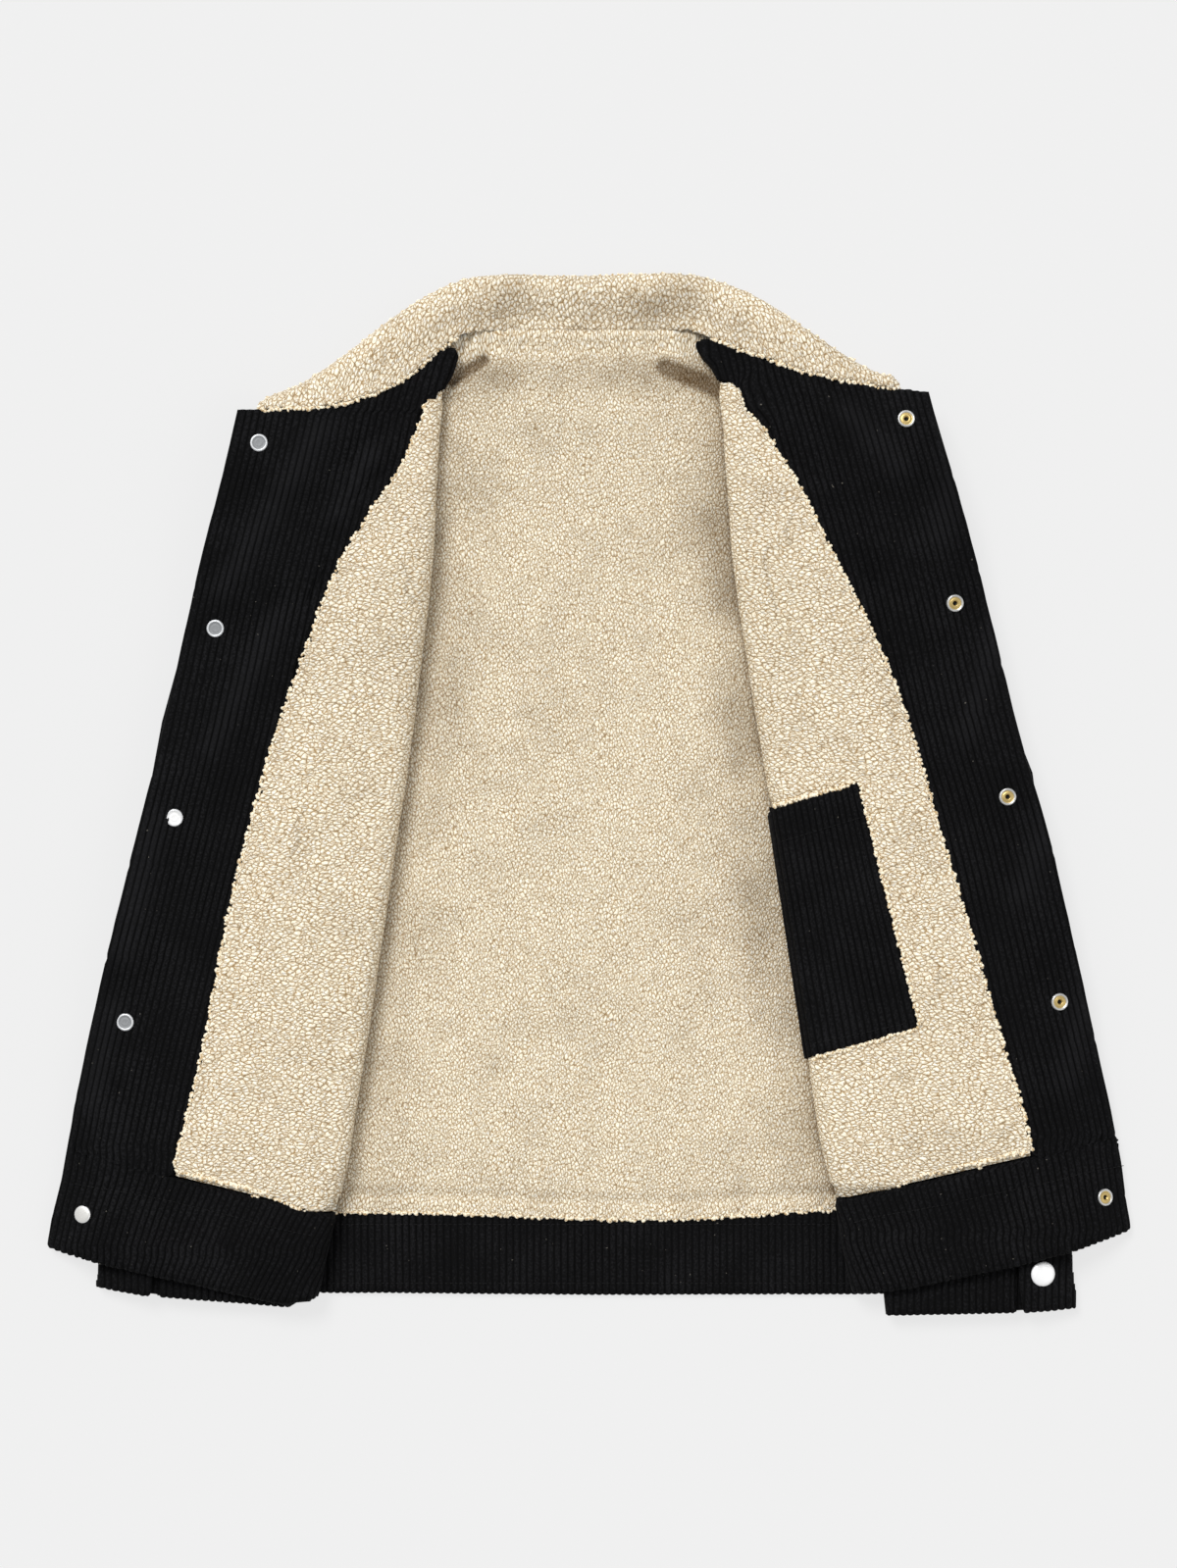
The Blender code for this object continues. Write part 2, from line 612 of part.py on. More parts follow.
def collar_rows():
    collar = named(COLLAR_COLUMNS, COLLAR)
    seam = np.stack([collar["seam_x"], collar["seam_y"]], axis=1)
    edge = np.stack([collar["roll_x"], collar["roll_y"]], axis=1)
    back = seam - edge
    room = np.linalg.norm(back, axis=1)
    back /= room[:, None]
    inset = np.clip(room - ROLL - COLLAR_EASE - 1.0, 0.0, PILE + ROLL_AIR)
    return seam - back * COLLAR_EASE, edge + back * inset[:, None], back, collar["fall"]


def collar_fall():
    """Fall of the collar, turned underneath and lying on the surface."""
    seam, roll, back, fall = collar_rows()
    surface = np.zeros((len(seam), FALL_SPANS + 1, 3))
    for k in range(FALL_SPANS + 1):
        reach = fall * (1 - k / FALL_SPANS) + ROLL * k / FALL_SPANS
        surface[:, k, :2] = roll + back * reach[:, None]
    surface[..., 2] = FALL_Z
    return surface


def make_collar(bed, fall, seam_height):
    seam, roll, back, _ = collar_rows()
    rows = len(seam)
    stand = np.zeros((rows, STAND_SPANS + 1, 3))
    over_front = ease((np.abs(seam[:, 0]) - 68) / 22)
    start = np.interp(seam[:, 0], seam_height[:, 0], seam_height[:, 1])
    start[1:-1] = (start[:-2] + 2 * start[1:-1] + start[2:]) / 4
    top = np.maximum(FALL_Z + 2 * ROLL, (bed.height(roll[:, 0], roll[:, 1]) + CORD + GAP) * over_front)
    for k in range(STAND_SPANS + 1):
        share = k / STAND_SPANS
        stand[:, k, :2] = (roll + back * ROLL) * (1 - share) + seam * share
        rest = (bed.height(stand[:, k, 0], stand[:, k, 1]) + CORD + GAP) * over_front
        stand[:, k, 2] = np.maximum(top * (1 - share) + start * share, rest)
    turn = np.zeros((rows, ROLL_SPANS - 1, 3))
    turn_normal = np.zeros_like(turn)
    low, high = fall[:, -1], stand[:, 0]
    half = (high[:, 2] - low[:, 2]) / 2
    for k in range(ROLL_SPANS - 1):
        angle = math.pi * (k + 1) / ROLL_SPANS
        turn[:, k, :2] = low[:, :2] - back * (np.clip(half, ROLL, ROLL_REACH) * math.sin(angle))[:, None]
        turn[:, k, 2] = low[:, 2] + half * (1 - math.cos(angle))
        turn_normal[:, k, :2] = -back * math.sin(angle)
        turn_normal[:, k, 2] = -math.cos(angle)
    surface = np.concatenate([fall, turn, stand], axis=1)
    normal = np.concatenate([upright(fall, -1), turn_normal, upright(stand, 1)], axis=1)
    ends = np.minimum(distance_to(surface, surface[0]), distance_to(surface, surface[-1]))
    sewn = np.minimum(distance_to(surface, surface[:, -1]), ends * 1.5)
    sewn[:, :FALL_SPANS + ROLL_SPANS] = ends[:, :FALL_SPANS + ROLL_SPANS] * 2
    pile = pile_depth(sewn)
    wall("collar_top", surface, normal, SEAM, pile, "sherpa")
    wall("collar_under", surface, normal, -CORD, -SEAM, "corduroy")
    return surface, normal, pile


# ---- pocket and snaps ----------------------------------------------------------------------

def height_on(top, x, y):
    """Height of a laid surface at a place, or None beside it."""
    rows, columns = top.shape[:2]
    for i in range(rows - 1):
        for j in range(columns - 1):
            quad = (top[i, j], top[i, j + 1], top[i + 1, j + 1], top[i + 1, j])
            for a, b, c in ((quad[0], quad[1], quad[2]), (quad[0], quad[2], quad[3])):
                area = (b[0] - a[0]) * (c[1] - a[1]) - (b[1] - a[1]) * (c[0] - a[0])
                if abs(area) < 1e-6:
                    continue
                u = ((x - a[0]) * (c[1] - a[1]) - (y - a[1]) * (c[0] - a[0])) / area
                v = ((b[0] - a[0]) * (y - a[1]) - (b[1] - a[1]) * (x - a[0])) / area
                if u > -0.01 and v > -0.01 and u + v < 1.01:
                    return a[2] + u * (b[2] - a[2]) + v * (c[2] - a[2])
    return None


def make_pocket(front, surface, normal, pile):
    """Patch on the lining that follows the turned edge of the front."""
    top = surface + normal * pile[..., None]
    upper_top = top[:, FIRST_UPPER:]
    first_turned = LOWER + 2
    inner_top, outer_top, outer_low, inner_low = (np.array(corner, float) for corner in POCKET)
    rows, across = 8, 5
    turned = list(range(first_turned, FIRST_UPPER + 1))
    patch = np.zeros((rows + 1, len(turned) + across, 3))
    patch_normal = np.zeros_like(patch)
    for i in range(rows + 1):
        start = inner_top + (inner_low - inner_top) * i / rows
        end = outer_top + (outer_low - outer_top) * i / rows
        for j, column in enumerate(turned):
            line = top[::-1, column]
            for axis in range(3):
                patch[i, j, axis] = np.interp(start[1], line[:, 1], line[:, axis])
            patch_normal[i, j] = normal[0, column]
        start = patch[i, len(turned) - 1, :2]
        end = np.array([end[0] * front["sign"], end[1]])
        for k in range(across):
            x, y = start + (end - start) * (k + 1) / across
            patch[i, len(turned) + k] = x, y, height_on(upper_top, x, y)
            patch_normal[i, len(turned) + k] = 0, 0, 1
    patch += patch_normal * GAP
    wall("inner_pocket", patch, patch_normal, 0.0, POCKET_PLY, "corduroy")


def turned_fitting(name, profile, finish, centre, tilt):
    """Round fitting turned from a profile of radius and height, its first and last radius zero."""
    tilt = np.asarray(tilt, float)
    side = np.cross((0, 1, 0), tilt)
    side /= np.linalg.norm(side)
    front = np.cross(tilt, side)
    verts, faces = [centre + tilt * profile[0][1]], []
    for radius, z in profile[1:-1]:
        for k in range(ROUND):
            angle = 2 * math.pi * k / ROUND
            verts.append(centre + tilt * z + radius * (side * math.cos(angle) + front * math.sin(angle)))
    verts.append(centre + tilt * profile[-1][1])
    rings = len(profile) - 2
    for k in range(ROUND):
        after = (k + 1) % ROUND
        faces.append([0, 1 + after, 1 + k])
        for ring in range(rings - 1):
            low, high = 1 + ring * ROUND, 1 + (ring + 1) * ROUND
            faces.append([low + k, low + after, high + after, high + k])
        last = 1 + (rings - 1) * ROUND
        faces.append([last + k, last + after, len(verts) - 1])
    verts = np.array(verts)
    if volume(verts, faces) < 0:
        faces = [face[::-1] for face in faces]
    add_object(name, verts, faces, finish)


def seat(top, x, y, radius):
    """Centre and tilt of a round fitting that lies on a surface."""
    spots = [(x, y, height_on(top, x, y))]
    for k in range(8):
        sx, sy = x + radius * math.cos(k * math.pi / 4), y + radius * math.sin(k * math.pi / 4)
        spots.append((sx, sy, height_on(top, sx, sy)))
    spots = np.array([spot for spot in spots if spot[2] is not None])
    lean, *_ = np.linalg.lstsq(np.c_[spots[:, 0] - x, spots[:, 1] - y, np.ones(len(spots))], spots[:, 2],
                               rcond=None)
    over = np.max(spots[:, 2] - (lean[0] * (spots[:, 0] - x) + lean[1] * (spots[:, 1] - y) + lean[2]))
    tilt = np.array([-lean[0], -lean[1], 1.0])
    return np.array([x, y, lean[2] + over + 0.3]), tilt / np.linalg.norm(tilt)


def post_profile(r):
    return ((0, 0), (0.7 * r, 0), (r, 0.5), (r, 1.0), (0.84 * r, 1.5), (0.72 * r, 1.1), (0.6 * r, 1.4), (0, 1.7))


def socket_profile(r):
    return ((0, 0), (0.7 * r, 0), (r, 0.5), (r, 1.3), (0.8 * r, 2.1), (0.62 * r, 1.6), (0.5 * r, 2.2),
            (0.28 * r, 2.0), (0.2 * r, 0.9), (0, 0.9))


def cap_profile(r):
    return ((0, 0), (0.9 * r, 0), (r, 0.6), (0.97 * r, 1.3), (0.8 * r, 1.9), (0.45 * r, 2.3), (0, 2.5))


def centre_on_origin():
    """Origin under the middle of the laid garment, at its lowest point."""
    meshes = [thing.data for thing in bpy.context.scene.objects]
    points = np.array([vertex.co for mesh in meshes for vertex in mesh.vertices])
    low, high = points.min(axis=0), points.max(axis=0)
    shift = ((low[0] + high[0]) / 2, (low[1] + high[1]) / 2, low[2])
    for mesh in meshes:
        for vertex in mesh.vertices:
            vertex.co -= Vector(shift)


def main():
    clear_scene()
    bed = Bed()
    fall = collar_fall()
    bed.cover(fall + upright(fall, CORD))
    bed.settle(WIDEN_BACK, EASE_BACK)
    back = make_back(bed)
    bed.settle()

    lowers = {name: make_lower_front(front, bed) for name, front in FRONTS.items()}
    for body, band in lowers.values():
        bed.cover(body + upright(body, CORD))
        bed.cover(band + upright(band, CORD))
    bed.settle()

    cuffs = {name: make_cuff(bed, name, front["sign"]) for name, front in FRONTS.items()}
    sleeves = [make_sleeve(bed, name, front["sign"]) for name, front in FRONTS.items()]
    for top in sleeves:
        bed.cover(top)
    for top in cuffs.values():
        bed.cover(top)
    bed.settle()

    seam_height = [(x, z) for x, _, z in back[0] if abs(x) < 72]
    fronts = {}
    for name, front in FRONTS.items():
        fronts[name] = make_fronts(bed, name, front, *lowers[name])
        seam_height += [(x, z) for x, _, z in fronts[name][0][0, FIRST_UPPER:]]
    make_collar(bed, fall, np.array(sorted(seam_height)))
    surface, normal, pile, _, _ = fronts["right"]
    make_pocket(FRONTS["right"], surface, normal, pile)

    for name, front in FRONTS.items():
        surface, normal, _, hem, hem_normal = fronts[name]
        facing = (surface + normal * CORD)[:, FIRST_UPPER + LINING:]
        band = (hem + hem_normal * BAND)[:, FIRST_UPPER:]
        for k, (out, y) in enumerate(SNAPS[name]):
            top = band if k == len(SNAPS[name]) - 1 else facing
            centre, tilt = seat(top, out * front["sign"], y, SNAP_RADIUS)
            if name == "left":
                turned_fitting(f"snap_post_{k + 1}", post_profile(SNAP_RADIUS), "silver", centre, tilt)
            else:
                turned_fitting(f"snap_socket_{k + 1}", socket_profile(SNAP_RADIUS), "brass", centre, tilt)
        cuff_top = cuffs[name][:, -3:]
        middle = cuff_top[-1].mean(axis=0)
        centre, tilt = seat(cuff_top, middle[0], middle[1] + CUFF_SNAP_UP, CUFF_SNAP_RADIUS)
        turned_fitting("cuff_snap_" + name, cap_profile(CUFF_SNAP_RADIUS), "silver", centre, tilt)
    centre_on_origin()


main()
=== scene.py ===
import math

import bmesh
import bpy
import numpy as np
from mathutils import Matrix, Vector


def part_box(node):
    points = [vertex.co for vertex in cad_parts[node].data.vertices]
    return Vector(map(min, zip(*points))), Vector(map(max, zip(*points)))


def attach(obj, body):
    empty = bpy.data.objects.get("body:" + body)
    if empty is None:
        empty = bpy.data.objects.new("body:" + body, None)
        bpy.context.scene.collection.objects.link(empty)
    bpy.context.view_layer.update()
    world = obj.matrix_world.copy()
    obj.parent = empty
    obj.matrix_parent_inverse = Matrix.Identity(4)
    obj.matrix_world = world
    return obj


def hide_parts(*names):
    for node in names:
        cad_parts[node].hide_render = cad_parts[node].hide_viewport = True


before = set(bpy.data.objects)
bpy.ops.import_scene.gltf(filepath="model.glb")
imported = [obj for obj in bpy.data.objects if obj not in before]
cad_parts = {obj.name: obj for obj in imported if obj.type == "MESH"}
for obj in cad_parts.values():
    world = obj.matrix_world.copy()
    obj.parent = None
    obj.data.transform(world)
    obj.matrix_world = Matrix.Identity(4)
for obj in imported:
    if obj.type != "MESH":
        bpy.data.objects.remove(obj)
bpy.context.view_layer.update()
mm = 0.001
sides = {"left": -1, "right": 1}


# shader helpers

class Value:
    # one number in a shader tree; the operators add Math nodes
    def __init__(self, tree, socket):
        self.tree, self.socket = tree, socket

    def calc(self, operation, *terms):
        node = addNode(self.tree, "ShaderNodeMath", {"operation": operation}, terms)
        return Value(self.tree, node.outputs[0])

    def __add__(self, other): return self.calc("ADD", self, other)
    def __radd__(self, other): return self.calc("ADD", other, self)
    def __mul__(self, other): return self.calc("MULTIPLY", self, other)
    def __rmul__(self, other): return self.calc("MULTIPLY", other, self)
    def __pow__(self, other): return self.calc("POWER", self, other)

    def between(self, low, high):
        # 0 below low, 1 above high, soft in between
        node = addNode(self.tree, "ShaderNodeMapRange", {"interpolation_type": "SMOOTHSTEP"}, (self, low, high))
        return Value(self.tree, node.outputs[0])


def plug(tree, socket, term):
    if isinstance(term, Value):
        tree.links.new(term.socket, socket)
    elif isinstance(term, bpy.types.NodeSocket):
        tree.links.new(term, socket)
    elif isinstance(term, (tuple, list)) and len(term) == 3 and socket.type == "RGBA":
        socket.default_value = (*term, 1.0)
    else:
        socket.default_value = term


def addNode(tree, kind, settings=None, terms=(), **named):
    # settings are set first; terms go to the sockets in their order, named ones to the sockets of that name
    node = tree.nodes.new(kind)
    for key, value in (settings or {}).items():
        setattr(node, key, value)
    for socket, term in zip(node.inputs, terms):
        plug(tree, socket, term)
    for key, term in named.items():
        plug(tree, node.inputs[key.replace("_", " ")], term)
    return node


class Nodes:
    def add(self, *terms, **named):
        return addNode(self.tree, *terms, **named)


class Finish(Nodes):
    # a material on one Principled shader
    def __init__(self, name, **fixed):
        self.material = bpy.data.materials.new(name)
        self.material.use_nodes = True
        self.tree = self.material.node_tree
        self.shader = self.tree.nodes["Principled BSDF"]
        for socket, value in fixed.items():
            plug(self.tree, self.shader.inputs[socket.replace("_", " ")], value)
        self.coords = self.add("ShaderNodeTexCoord").outputs["Object"]

    def value(self, node, output=0):
        return Value(self.tree, node.outputs[output])

    def noise(self, scale, detail=2.0, rough=0.5):
        node = self.add("ShaderNodeTexNoise", Vector=self.coords, Scale=scale, Detail=detail, Roughness=rough)
        return self.value(node)

    def attribute(self, name):
        return self.value(self.add("ShaderNodeAttribute", {"attribute_name": name}), "Fac")

    def blend(self, share, one, other, way="MIX"):
        node = self.add("ShaderNodeMix", {"data_type": "RGBA", "blend_type": way}, [share])
        for socket, colour in zip(node.inputs[6:8], (one, other)):      # A and B, as colours
            plug(self.tree, socket, colour)
        return node.outputs[2]

    def parts(self, socket):
        node = self.add("ShaderNodeSeparateXYZ", Vector=socket)
        return [self.value(node, k) for k in range(3)]

    def turned(self, angle):
        return self.add("ShaderNodeMapping", Vector=self.coords, Rotation=(0, 0, angle)).outputs[0]

    def colour(self, socket):
        plug(self.tree, self.shader.inputs["Base Color"], socket)

    def rough(self, value):
        plug(self.tree, self.shader.inputs["Roughness"], value)

    def bump(self, height, distance, strength=1.0):
        node = self.add("ShaderNodeBump", Strength=strength, Distance=distance, Height=height)
        plug(self.tree, self.shader.inputs["Normal"], node.outputs[0])


def place(name, mesh):
    made = bpy.data.objects.new(name, mesh)
    bpy.context.scene.collection.objects.link(made)
    return made


def linear(*colour):
    # screen colour 0-255 to the linear value a shader wants
    return tuple(c / 255 / 12.92 if c <= 10 else ((c / 255 + 0.055) / 1.055) ** 2.4 for c in colour)


# number helpers

def softNoise(x, y, size, seed):
    # smooth noise from -1 to 1 with lumps of that size
    grid = np.random.default_rng(seed).uniform(-1, 1, (64, 64))
    x, y = np.asarray(x) / size, np.asarray(y) / size
    i, j = np.floor(x).astype(int), np.floor(y).astype(int)
    u, v = x - i, y - j
    u, v = u * u * (3 - 2 * u), v * v * (3 - 2 * v)
    i0, i1, j0, j1 = i % 64, (i + 1) % 64, j % 64, (j + 1) % 64
    return (grid[i0, j0] * (1 - u) + grid[i1, j0] * u) * (1 - v) + (grid[i0, j1] * (1 - u) + grid[i1, j1] * u) * v


def ease(x):
    x = np.clip(x, 0.0, 1.0)
    return x * x * (3 - 2 * x)


def bell(x, tall, middle, wide):
    return tall * np.exp(-((x - middle) / wide) ** 2)


def fade(x, tall, wide):
    return tall * np.exp(-x / wide)


def blur(grid, mask, reach, axis):
    # soft average along one axis of a masked grid, reach in cells
    g, m = np.moveaxis(grid, axis, 0), np.moveaxis(mask, axis, 0).astype(float)
    total, weight, n = np.zeros_like(g), np.zeros(m.shape), len(m)
    for step in range(-2 * reach, 2 * reach + 1):
        share = math.exp(-0.5 * (step / reach) ** 2)
        to = slice(max(0, step), n + min(0, step))
        source = slice(max(0, -step), n + min(0, -step))
        total[to] += g[source] * m[source][..., None] * share
        weight[to] += m[source] * share
    return np.moveaxis(total / np.maximum(weight, 1e-9)[..., None], 0, axis)


# reading the CAD solids

def mergedNode(name):
    # a CAD node's mesh with its doubles merged
    bm = bmesh.new()
    bm.from_mesh(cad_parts[name].data)
    bmesh.ops.remove_doubles(bm, verts=bm.verts, dist=2e-5)
    return bm


def spanOf(node, axis, inset):
    # the stretch that a node takes along one axis, a little inside its ends
    low, high = (np.array(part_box(node)) / mm)[:, axis]
    return low + inset, high - inset


def cadPiece(name):
    # points in millimetres and triangles of a CAD node
    bm = mergedNode(name)
    bmesh.ops.triangulate(bm, faces=bm.faces)
    points = np.array([v.co for v in bm.verts]) / mm
    faces = np.array([[v.index for v in f.verts] for f in bm.faces])
    bm.free()
    return points, faces


def cutLoops(points, faces, axis, at):
    # closed loops where a plane cuts a solid
    above = points[:, axis] > at
    cut = faces[above[faces].any(1) & ~above[faces].all(1)]
    links = {}
    for face in cut:
        ends = []
        for k in range(3):
            a, b = int(face[k]), int(face[(k + 1) % 3])
            if above[a] != above[b]:
                ends.append((min(a, b), max(a, b)))
        for one, other in (ends, ends[::-1]):
            links.setdefault(one, []).append(other)
    loops = []
    while links:
        start = next(iter(links))
        loop, before, here = [start], None, start
        while True:
            options = links.pop(here, [])
            onward = [o for o in options if o != before and o in links]
            if not onward:
                break
            before, here = here, onward[0]
            loop.append(here)
        spots = []
        for a, b in loop:
            t = (at - points[a, axis]) / (points[b, axis] - points[a, axis])
            spots.append(points[a] + (points[b] - points[a]) * t)
        loops.append(np.array(spots))
    return loops


def outerPath(loop, across, outward):
    # from the top outer corner of a cut wall along its upper side and round its turn
    flat = loop[:, [across, 2]] * (outward, 1)
    area = np.sum(flat[:, 0] * np.roll(flat[:, 1], -1) - np.roll(flat[:, 0], -1) * flat[:, 1])
    if area < 0:
        flat, loop = flat[::-1], loop[::-1]
    # walk back from the turn until the wall stops going outward, so a layer lying lower doesn't count
    walk = (np.argmin(flat[:, 0]) - np.arange(len(loop))) % len(loop)
    reach = flat[walk, 0]
    most = np.maximum.accumulate(reach)
    back = np.where(reach < most - 3)[0]
    most = most[back[0]] if len(back) else most[-1]
    return np.roll(loop, -walk[np.argmax(reach > most - 0.9)], axis=0)


# how an edge rolls over at its rim in three steps: out, and how far below the rim the last two of them are
lipOut, lipDown = np.array([0.7, 0.7, 0.4]), (1.1, 0.35)


def wrapGrid(name, axis, span, steps, outward, origin="edge", under=0.0, lip=0.0, pick="wide", straight=(), out=0.0):
    # grid over the upper side of a laid wall, counted from its outer edge, from its turned edge, or fanned
    # between the two; under is how far it goes on below the turn, lip how far it goes down at the outer edge,
    # out how far it goes on past it, straight the levels between which each edge has its own line
    points, faces = cadPiece(name)
    across = 1 - axis
    levels = np.arange(span[0], span[1], steps[0])
    paths, ends = [], np.full((len(levels), 2), np.nan)
    for row, level in enumerate(levels):
        loops = [loop for loop in cutLoops(points, faces, axis, level + 1e-4) if len(loop) > 5]
        if not loops:
            paths.append(None)
            continue
        loop = max(loops, key=lambda one: np.ptp(one[:, across]) if pick == "wide" else one[:, 2].max())
        path = outerPath(loop, across, outward)
        ends[row] = path[0, across] * outward, (path[:, across] * outward).min()
        if out:
            path = np.concatenate([path[:1] + np.eye(3)[across] * outward * out, path])
        if lip:
            edge = np.array([path[0]] * 3)
            edge[:, across] += outward * lipOut
            edge[:, 2] -= [lip, *lipDown]
            path = np.concatenate([edge, path])
        run = np.concatenate([[0], np.cumsum(np.linalg.norm(np.diff(path, axis=0), axis=1))])
        turn = int(np.argmin(path[:, across] * outward))
        end = min(run[turn] + under, run[-1])
        last = [np.interp(end, run, path[:, k]) for k in range(3)]
        keep = run < end
        path, run = np.concatenate([path[keep], [last]]), np.append(run[keep], end) - lip
        paths.append((path, run, run[min(turn, len(run) - 1)]))
    # where an edge is cut away the counting goes on from its drawn-out line
    gaps = np.zeros(ends.shape)
    for k, limits in enumerate(straight):
        for beyond, sure in ((levels < limits[0], (levels >= limits[0]) & (levels < limits[0] + 60)),
                             (levels > limits[1], (levels <= limits[1]) & (levels > limits[1] - 60))):
            slope, start = np.polyfit(levels[sure], ends[sure, k], 1)
            gap = start + slope * levels[beyond] - ends[beyond, k]
            gaps[beyond, k] = np.maximum(gap if k == 0 else -gap, 0)
    whole = [found[2] + gaps[row].sum() if found else np.nan for row, found in enumerate(paths)]
    usual, known = np.nanmedian(whole), np.isfinite(whole)
    for limits in straight:
        known &= (levels > limits[0]) & (levels < limits[1])
    trend = np.polyfit(levels[known], np.array(whole)[known], 1)
    for row, found in enumerate(paths):
        if found:
            path, run, turned = found
            if origin == "turn":
                run = run - turned - gaps[row, 1]
            else:
                run = run + gaps[row, 0]
            if origin == "fan":
                run = run * usual / (trend[0] * levels[row] + trend[1])
            paths[row] = path, run
    low = min(run[0] for _, run in filter(None, paths))
    high = max(run[-1] for _, run in filter(None, paths))
    counts = np.arange(math.floor(low / steps[1]), math.ceil(high / steps[1]) + 1)
    u = counts * steps[1]
    grid = np.zeros((len(levels), len(counts), 3))
    mask = np.zeros(grid.shape[:2], bool)
    for i, found in enumerate(paths):
        if found is not None:
            path, run = found
            mask[i] = (u >= run[0] - steps[1] / 2) & (u <= run[-1] + steps[1] / 2)
            for k in range(3):
                grid[i, :, k] = np.interp(u, run, path[:, k])
    return grid, mask, levels, u


def gridNormals(grid, up):
    normal = np.cross(np.gradient(grid, axis=1), np.gradient(grid, axis=0))
    return up * normal / np.maximum(np.linalg.norm(normal, axis=2, keepdims=True), 1e-9)


def rimDistance(mask, most):
    # cells to the nearest hole or border, up to most
    inside = mask.copy()
    inside[0], inside[-1], inside[:, 0], inside[:, -1] = False, False, False, False
    distance = np.zeros(mask.shape)
    for _ in range(most):
        distance += inside
        core = inside.copy()
        for axis in (0, 1):
            for step in (-1, 1):
                core &= np.roll(inside, step, axis)
        inside = core
    return distance


def meshFromGrid(name, grid, mask, finish, data, flip):
    # quads over the masked cells of a grid, with numbers per point
    rows, columns = mask.shape
    index = -np.ones(mask.shape, int)
    cells = mask[:-1, :-1] & mask[1:, :-1] & mask[:-1, 1:] & mask[1:, 1:]
    used = np.zeros(mask.shape, bool)
    for i, j in ((0, 0), (1, 0), (0, 1), (1, 1)):
        used[i:rows - 1 + i, j:columns - 1 + j] |= cells
    index[used] = np.arange(used.sum())
    a, b, c, d = (index[i:rows - 1 + i, j:columns - 1 + j][cells] for i, j in ((0, 0), (0, 1), (1, 1), (1, 0)))
    quads = np.stack([d, c, b, a] if flip else [a, b, c, d], axis=1)
    mesh = bpy.data.meshes.new(name)
    mesh.from_pydata((grid[used] * mm).tolist(), [], quads.tolist())
    for key, values in data.items():
        kind, field = ("FLOAT", "value") if values.ndim == 2 else ("FLOAT_VECTOR", "vector")
        layer = mesh.attributes.new(key, kind, "POINT")
        layer.data.foreach_set(field, np.ascontiguousarray(values[used], dtype=np.float32).ravel())
    mesh.shade_smooth()
    mesh.materials.append(finish.material)
    return place(name, mesh)


def settle(piece, node):
    # everything rides on the one body; node: what it stands for, if anything
    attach(piece, "root")
    if node:
        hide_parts(node)
    return piece


def fromBmesh(name, bm, finish):
    mesh = bpy.data.meshes.new(name)
    bm.to_mesh(mesh)
    bm.free()
    mesh.materials.clear()
    mesh.materials.append(finish.material)
    mesh.shade_smooth()
    return place(name, mesh)


def bodyOf(name, node, finish, shrink, replaced=None):
    # closed wall under a dressed surface: a copy of the solid, a little thinner
    bm = mergedNode(node)
    bm.normal_update()
    moved = [v.co - v.normal * shrink * mm for v in bm.verts]
    for v, co in zip(bm.verts, moved):
        v.co = co
    piece = settle(fromBmesh(name, bm, finish), replaced)
    piece.data.set_sharp_from_angle(angle=math.radians(50))


# rows of small things by Geometry Nodes

class Flow(Nodes):
    # a Geometry Nodes tree with named inputs
    def __init__(self, name, **inputs):
        self.tree = bpy.data.node_groups.new(name, "GeometryNodeTree")
        self.tree.interface.new_socket("Geometry", in_out="INPUT", socket_type="NodeSocketGeometry")
        for key, kind in inputs.items():
            self.tree.interface.new_socket(key, in_out="INPUT", socket_type="NodeSocket" + kind)
        self.tree.interface.new_socket("Geometry", in_out="OUTPUT", socket_type="NodeSocketGeometry")
        self.given = self.tree.nodes.new("NodeGroupInput").outputs
        self.result = self.tree.nodes.new("NodeGroupOutput").inputs[0]

    def scatter(self, low, high, seed):
        # a random vector per point
        return self.add("FunctionNodeRandomValue", {"data_type": "FLOAT_VECTOR"}, (low, high), Seed=seed).outputs[0]

    def end(self, geometry, material):
        whole = self.add("GeometryNodeRealizeInstances", Geometry=geometry)
        painted = self.add("GeometryNodeSetMaterial", Geometry=whole.outputs[0], Material=material)
        self.tree.links.new(painted.outputs[0], self.result)


def alongLine(flow):
    # points at even steps on the drawn lines
    curve = flow.add("GeometryNodeMeshToCurve", Mesh=flow.given["Geometry"])
    even = flow.add("GeometryNodeResampleCurve", {"mode": "LENGTH"}, Curve=curve.outputs[0],
                    Length=flow.given["Spacing"])
    return flow.add("GeometryNodeCurveToPoints", {"mode": "EVALUATED"}, Curve=even.outputs[0])


def tuftTree():
    flow = Flow("tufts", Spacing="Float", Radius="Float", Spread="Vector", Least="Float", Seed="Int",
                Material="Material")
    points = alongLine(flow)
    other = flow.add("ShaderNodeVectorMath", {"operation": "SCALE"}, [flow.given["Spread"]], Scale=-1.0)
    offset = flow.scatter(other.outputs[0], flow.given["Spread"], flow.given["Seed"])
    moved = flow.add("GeometryNodeSetPosition", Geometry=points.outputs["Points"], Offset=offset)
    ball = flow.add("GeometryNodeMeshIcoSphere", Radius=flow.given["Radius"], Subdivisions=2)
    smooth = flow.add("GeometryNodeSetShadeSmooth", Geometry=ball.outputs[0])
    least = flow.add("ShaderNodeCombineXYZ", X=flow.given["Least"], Y=flow.given["Least"], Z=flow.given["Least"])
    size = flow.scatter(least.outputs[0], (1.25, 1.0, 1.0), 5)
    spin = flow.scatter((0.0, 0.0, 0.0), (0.5, 0.5, 6.28), 6)         # tipped a little, turned all round
    tufts = flow.add("GeometryNodeInstanceOnPoints", Points=moved.outputs[0], Instance=smooth.outputs[0],
                     Rotation=spin, Scale=size)
    flow.end(tufts.outputs[0], flow.given["Material"])
    return flow.tree


